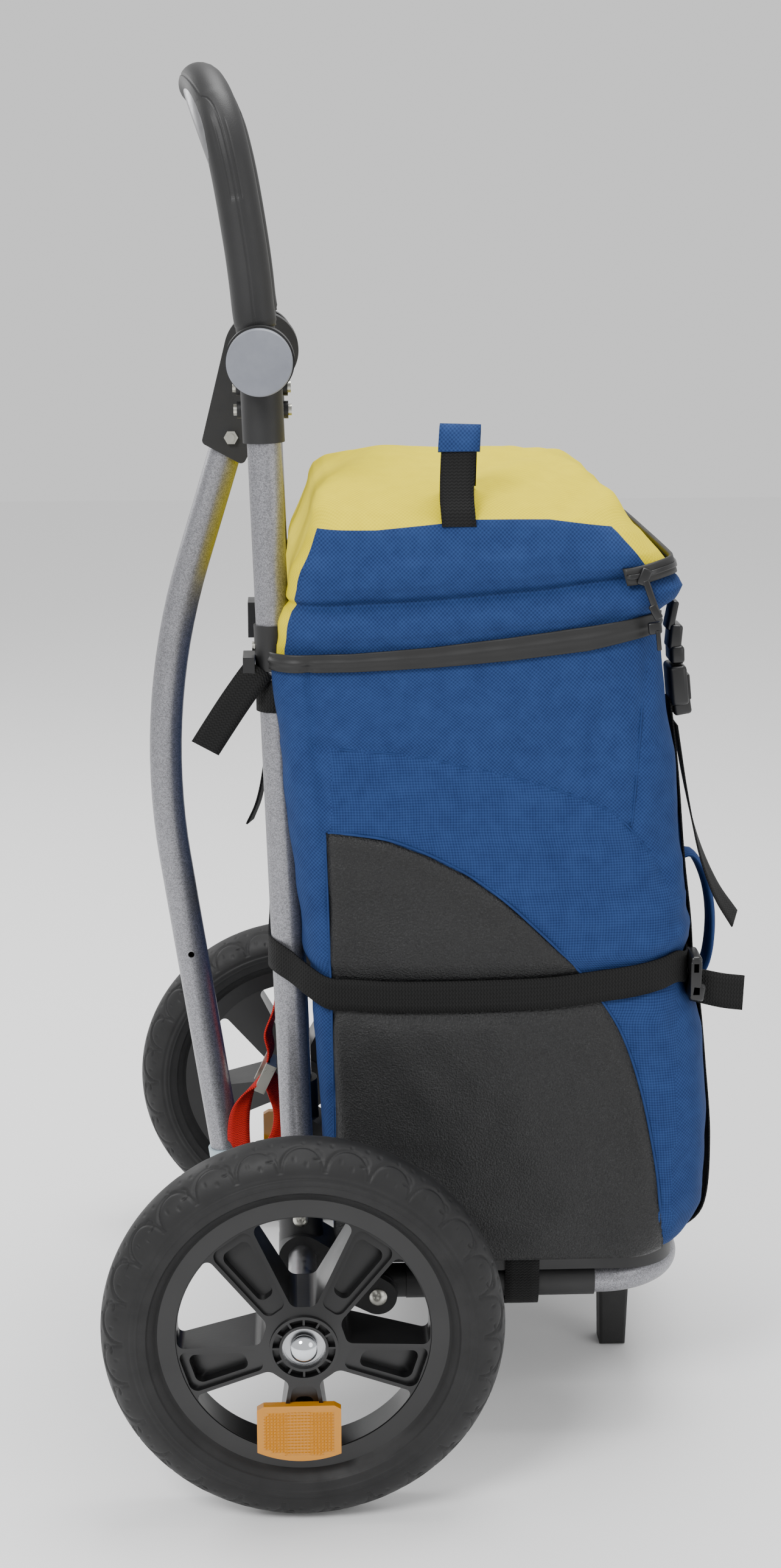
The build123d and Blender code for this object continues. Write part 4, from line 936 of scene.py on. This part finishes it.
def grab_loop():
    """Padded blue handle standing off the front of the bag."""
    spots = through([at(*p) for p in ((302, -62, 452), (314, -62, 455), (326, -62, 432), (331, -62, 400),
                                      (328, -62, 366), (316, -62, 349), (304, -62, 350))], 46)
    bm = bmesh.new()
    cloth = bm.loops.layers.uv.new("cloth")
    rings, run = [], 0.0
    for i, spot in enumerate(spots):
        ahead = (spots[min(i + 1, len(spots) - 1)] - spots[max(i - 1, 0)]).normalized()
        out = ahead.cross(Vector((0, 1, 0))).normalized()
        swell = 1.0 - 0.55 * (abs(i / (len(spots) - 1) - 0.5) * 2) ** 4
        rings.append([bm.verts.new(spot + out * math.sin(a) * 3.6 * MM * swell
                                   + Vector((0, math.cos(a) * 14.0 * MM * (0.8 + 0.2 * swell), 0)))
                      for a in [math.tau * k / 20 for k in range(20)]])
    for i in range(len(rings) - 1):
        run += (spots[i + 1] - spots[i]).length
        for k in range(20):
            n = (k + 1) % 20
            face = bm.faces.new((rings[i][k], rings[i][n], rings[i + 1][n], rings[i + 1][k]))
            for loop in face.loops:
                loop[cloth].uv = (loop.vert.co.y, run)
    bm.faces.new(rings[0])
    bm.faces.new(rings[-1])
    bmesh.ops.recalc_face_normals(bm, faces=bm.faces)
    return finish_piece("grab_handle", bm, "frame", "blue_fabric", ["front_grab_loop"])


grab_handle = grab_loop()
straps.append(grab_handle)

for side_name, sign in SIDES.items():
    turns = [math.radians(a) for a in range(0, 375, 15)]
    loop = [(-16.0 + 13.8 * math.cos(a), sign * RAIL_Y + 13.8 * math.sin(a), 600.5) for a in turns]
    straps.append(strap(f"rail_loop_{side_name}", loop, UP, 24.0, "frame", ["anchor_straps"], 70, thick=1.6))
for side_name, sign in SIDES.items():
    around = [(175, sign * y, z) for y, z in ((134, 153.5), (140, 151), (143.5, 143), (142.5, 130), (142.5, 119),
                                              (140, 108), (133, 101.5), (125, 99.8), (116, 102), (109, 109),
                                              (107.5, 119), (109, 130))]
    straps.append(strap(f"tray_tie_{side_name}", around, (1, 0, 0), 27.0, "platform", ["platform_straps"], 60))

loop = strap("carry_webbing", [(119, -164.5, 731), (118, -163.5, 742), (117.5, -159, 752), (118, -154, 770),
                               (119, -151, 788), (120, -147, 799), (121, -142, 800), (121, -138, 790),
                               (121, -134, 772), (121, -130, 757)], turning((1, 0, 0), (1, -0.08, 0.03), (1, 0, 0)),
             25.0, "lid", ["lid_carry_loop"], 70, thick=2.0)
sleeve = strap("carry_sleeve", [(119, -152, 784), (119.4, -150.4, 791), (120.2, -146.8, 799), (121, -142, 800.3),
                                (121, -137.8, 791), (121, -136, 784)], turning((1, -0.04, 0.01), (1, -0.08, -0.06)),
               30.0, "lid", ["lid_carry_loop"], 40, slot="blue_fabric", thick=5.2)
lid_pieces += [loop, sleeve]


# ---- zip round the lid's front, and the buckles

def solid(parts, name, body, slot, nodes):
    """One piece made of rounded boxes (low, high, bevel, tilt about Y) given in millimetres."""
    bm = bmesh.new()
    for low, high, bevel_mm, tilt in parts:
        low, high = at(*low), at(*high)
        cube = bmesh.ops.create_cube(bm, size=1.0)["verts"]
        bmesh.ops.scale(bm, vec=high - low, verts=cube)
        edges = list({e for v in cube for e in v.link_edges})
        made = bmesh.ops.bevel(bm, geom=edges, offset=bevel_mm * MM, offset_type="OFFSET", segments=3,
                               profile=0.5, affect="EDGES", material=-1)
        verts = list({v for f in made["faces"] for v in f.verts} | {v for v in cube if v.is_valid})
        turn = Matrix.Rotation(math.radians(tilt), 4, "Y")
        bmesh.ops.transform(bm, matrix=Matrix.Translation((low + high) / 2) @ turn, verts=verts)
    return finish_piece(name, bm, body, slot, nodes)


zip_spots = [(240, -169.6, 694), (248, -169.8, 695), (258, -168, 697), (268, -161.5, 699), (276, -152, 700),
             (280, -140, 700), (281, -120, 700), (281.4, -60, 700), (281.4, 0, 700)]
zip_spots += [(x, -y, z) for x, y, z in zip_spots[-2::-1]]
lid_pieces.append(strap("lid_zip_tape", zip_spots, (-0.3, 0, 1), 13.0, "lid", ["lid_zip"], 120, slot="zip",
                        thick=3.0))
lid_pieces.append(strap("lid_zip_teeth", [(x + 1.4, y * 1.008, z) for x, y, z in zip_spots], (-0.3, 0, 1), 3.4,
                        "lid", ["lid_zip"], 120, slot="buckle_plastic", thick=2.4))
lid_pieces.append(solid([((250, -174, 688), (258, -168, 701), 1.6, 20),
                         ((256, -174.6, 671), (261, -172, 693), 1.0, -20),
                         ((259.5, -175, 663), (266, -171.6, 675), 1.2, -28)], "lid_zip_puller", "lid",
                        "buckle_plastic", ["lid_zip"]))
straps.append(solid([((283, -126, 588), (297, -93, 619), 3.4, -6), ((286, -121, 580), (300, -98, 600), 2.6, -10),
                     ((296.5, -121, 592), (299.5, -98, 612), 1.2, -6)], "front_buckle_lower", "frame",
                    "buckle_plastic", ["front_buckle_socket"]))
lid_pieces.append(solid([((283, -124, 620), (294, -95, 634), 3.0, -3), ((282, -122, 630), (292, -97, 650), 2.6, 4),
                         ((281.5, -120, 645), (287.5, -99, 668), 2.0, 10)], "front_buckle_upper", "lid",
                        "buckle_plastic", ["front_buckle_prong"]))
bag_pieces.append(solid([((258, -173, 652), (268, -168, 661), 1.6, -8),
                         ((264, -174, 640), (267.5, -171.6, 655), 0.9, -6)],
                        "zip_slider", "frame", "buckle_plastic", ["bag_zip_pull"]))
straps.append(solid([((300, -157, 383), (309, -128, 398), 2.6, 0), ((300, -157, 362), (312, -128, 376), 2.6, 8),
                     ((300, -157, 366), (309, -153, 394), 1.5, 0), ((300, -132, 366), (309, -128, 394), 1.5, 0),
                     ((302, -155, 378), (308, -130, 382), 1.5, 0)], "belt_buckle", "frame", "buckle_plastic",
                    ["compression_buckle"]))

# ---- reflectors

def lens(side):
    """Prismatic face of a reflector: slanted prisms in the outer fields, upright bars in the middle."""
    low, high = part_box(f"reflector_{side}")
    sign = SIDES[side]
    face_y = high.y if sign > 0 else -low.y
    cell = 2.5 * MM
    bm = bmesh.new()
    columns = int((high.x - low.x - 4 * MM) / cell)
    rows = int((high.z - low.z - 4 * MM) / cell)
    for i in range(columns):
        for j in range(rows):
            x, z = low.x + 2 * MM + cell * i, low.z + 2 * MM + cell * j
            radius = math.hypot(x - AXLE.x, z - AXLE.z)
            if radius > 93 * MM or math.hypot(x + cell - AXLE.x, z - AXLE.z) > 93 * MM:
                continue
            if z > high.z - 7 * MM and (x < low.x + 5 * MM or x > high.x - 7 * MM):
                continue
            corners = [bm.verts.new((px, face_y + 0.05 * MM, pz)) for px, pz in
                       ((x, z), (x + cell, z), (x + cell, z + cell), (x, z + cell))]
            bm.faces.new(corners)
    bmesh.ops.remove_doubles(bm, verts=bm.verts[:], dist=0.00005)
    edge = [f for f in bm.faces if any(e.is_boundary for e in f.edges)]
    inner = [f for f in bm.faces if f not in edge]
    poked = bmesh.ops.poke(bm, faces=inner, offset=0.0)
    for vert in poked["verts"]:
        share = (vert.co.x - low.x) / (high.x - low.x)
        vert.co.y += (1.1 if share < 0.36 or share > 0.64 else 0.8) * MM
        if 0.36 <= share <= 0.64:
            vert.co.z += cell * 0.42
    if sign < 0:
        bmesh.ops.scale(bm, vec=(1, -1, 1), verts=bm.verts)
    bmesh.ops.recalc_face_normals(bm, faces=bm.faces)
    if sum(f.normal.y for f in bm.faces) * sign < 0:
        bmesh.ops.reverse_faces(bm, faces=bm.faces)
    return finish_piece(f"reflector_lens_{side}", bm, f"wheel_{side}", "amber", smooth=False)


for side_name in SIDES:
    lens(side_name)


# ---- own meshes for the bag's and lid's pieces, most of the straps and the base board

for piece in bag_pieces + straps + lid_pieces:
    if not piece.name.startswith(("anchor", "red", "rail_loop", "tray_tie")):
        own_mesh(piece)
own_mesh(frame["nodes"]["bag_base_board"])


# ---- stage

# Name, place, what it points at, size in metres and power in watts of each light.
LIGHTS = [("key", (-1.2, -1.9, 2.3), (0, 0, 0.5), 1.0, 58), ("fill", (1.9, -1.7, 1.2), (0, 0, 0.45), 1.4, 10),
          ("top", (0.3, 0.2, 2.7), (0, 0, 0.5), 1.4, 52), ("back", (-1.8, 1.6, 1.6), (0, 0, 0.5), 1.4, 24)]


def stage():
    """Pale floor, soft studio light and the camera."""
    bm = bmesh.new()
    bmesh.ops.create_grid(bm, x_segments=1, y_segments=1, size=6.0)
    mesh = bpy.data.meshes.new("floor")
    bm.to_mesh(mesh)
    bm.free()
    floor = bpy.data.objects.new("floor", mesh)
    floor.location.z = -0.0005
    mesh.materials.append(material("pale_floor", "#f4f4f4", 0.7)[0])
    bpy.context.scene.collection.objects.link(floor)
    for name, where, aim, size, power in LIGHTS:
        light = bpy.data.lights.new(name, "AREA")
        light.shape = "DISK"
        light.size = size
        light.energy = power
        lamp = bpy.data.objects.new(name, light)
        lamp.location = where
        lamp.rotation_euler = (Vector(aim) - Vector(where)).to_track_quat("-Z", "Y").to_euler()
        bpy.context.scene.collection.objects.link(lamp)
    world = bpy.data.worlds.new("studio")
    world.use_nodes = True
    sky = world.node_tree.nodes["Background"]
    sky.inputs["Color"].default_value = (1.0, 1.0, 1.0, 1.0)
    sky.inputs["Strength"].default_value = 0.9
    bpy.context.scene.world = world
    lens = bpy.data.cameras.new("camera")
    lens.lens = 54.13
    camera = bpy.data.objects.new("camera", lens)
    camera.location = (-0.1035, -1.868, 0.959)
    camera.rotation_euler = (math.radians(90 - 13.83), 0.0, math.radians(-2.52))
    bpy.context.scene.collection.objects.link(camera)
    bpy.context.scene.camera = camera


stage()
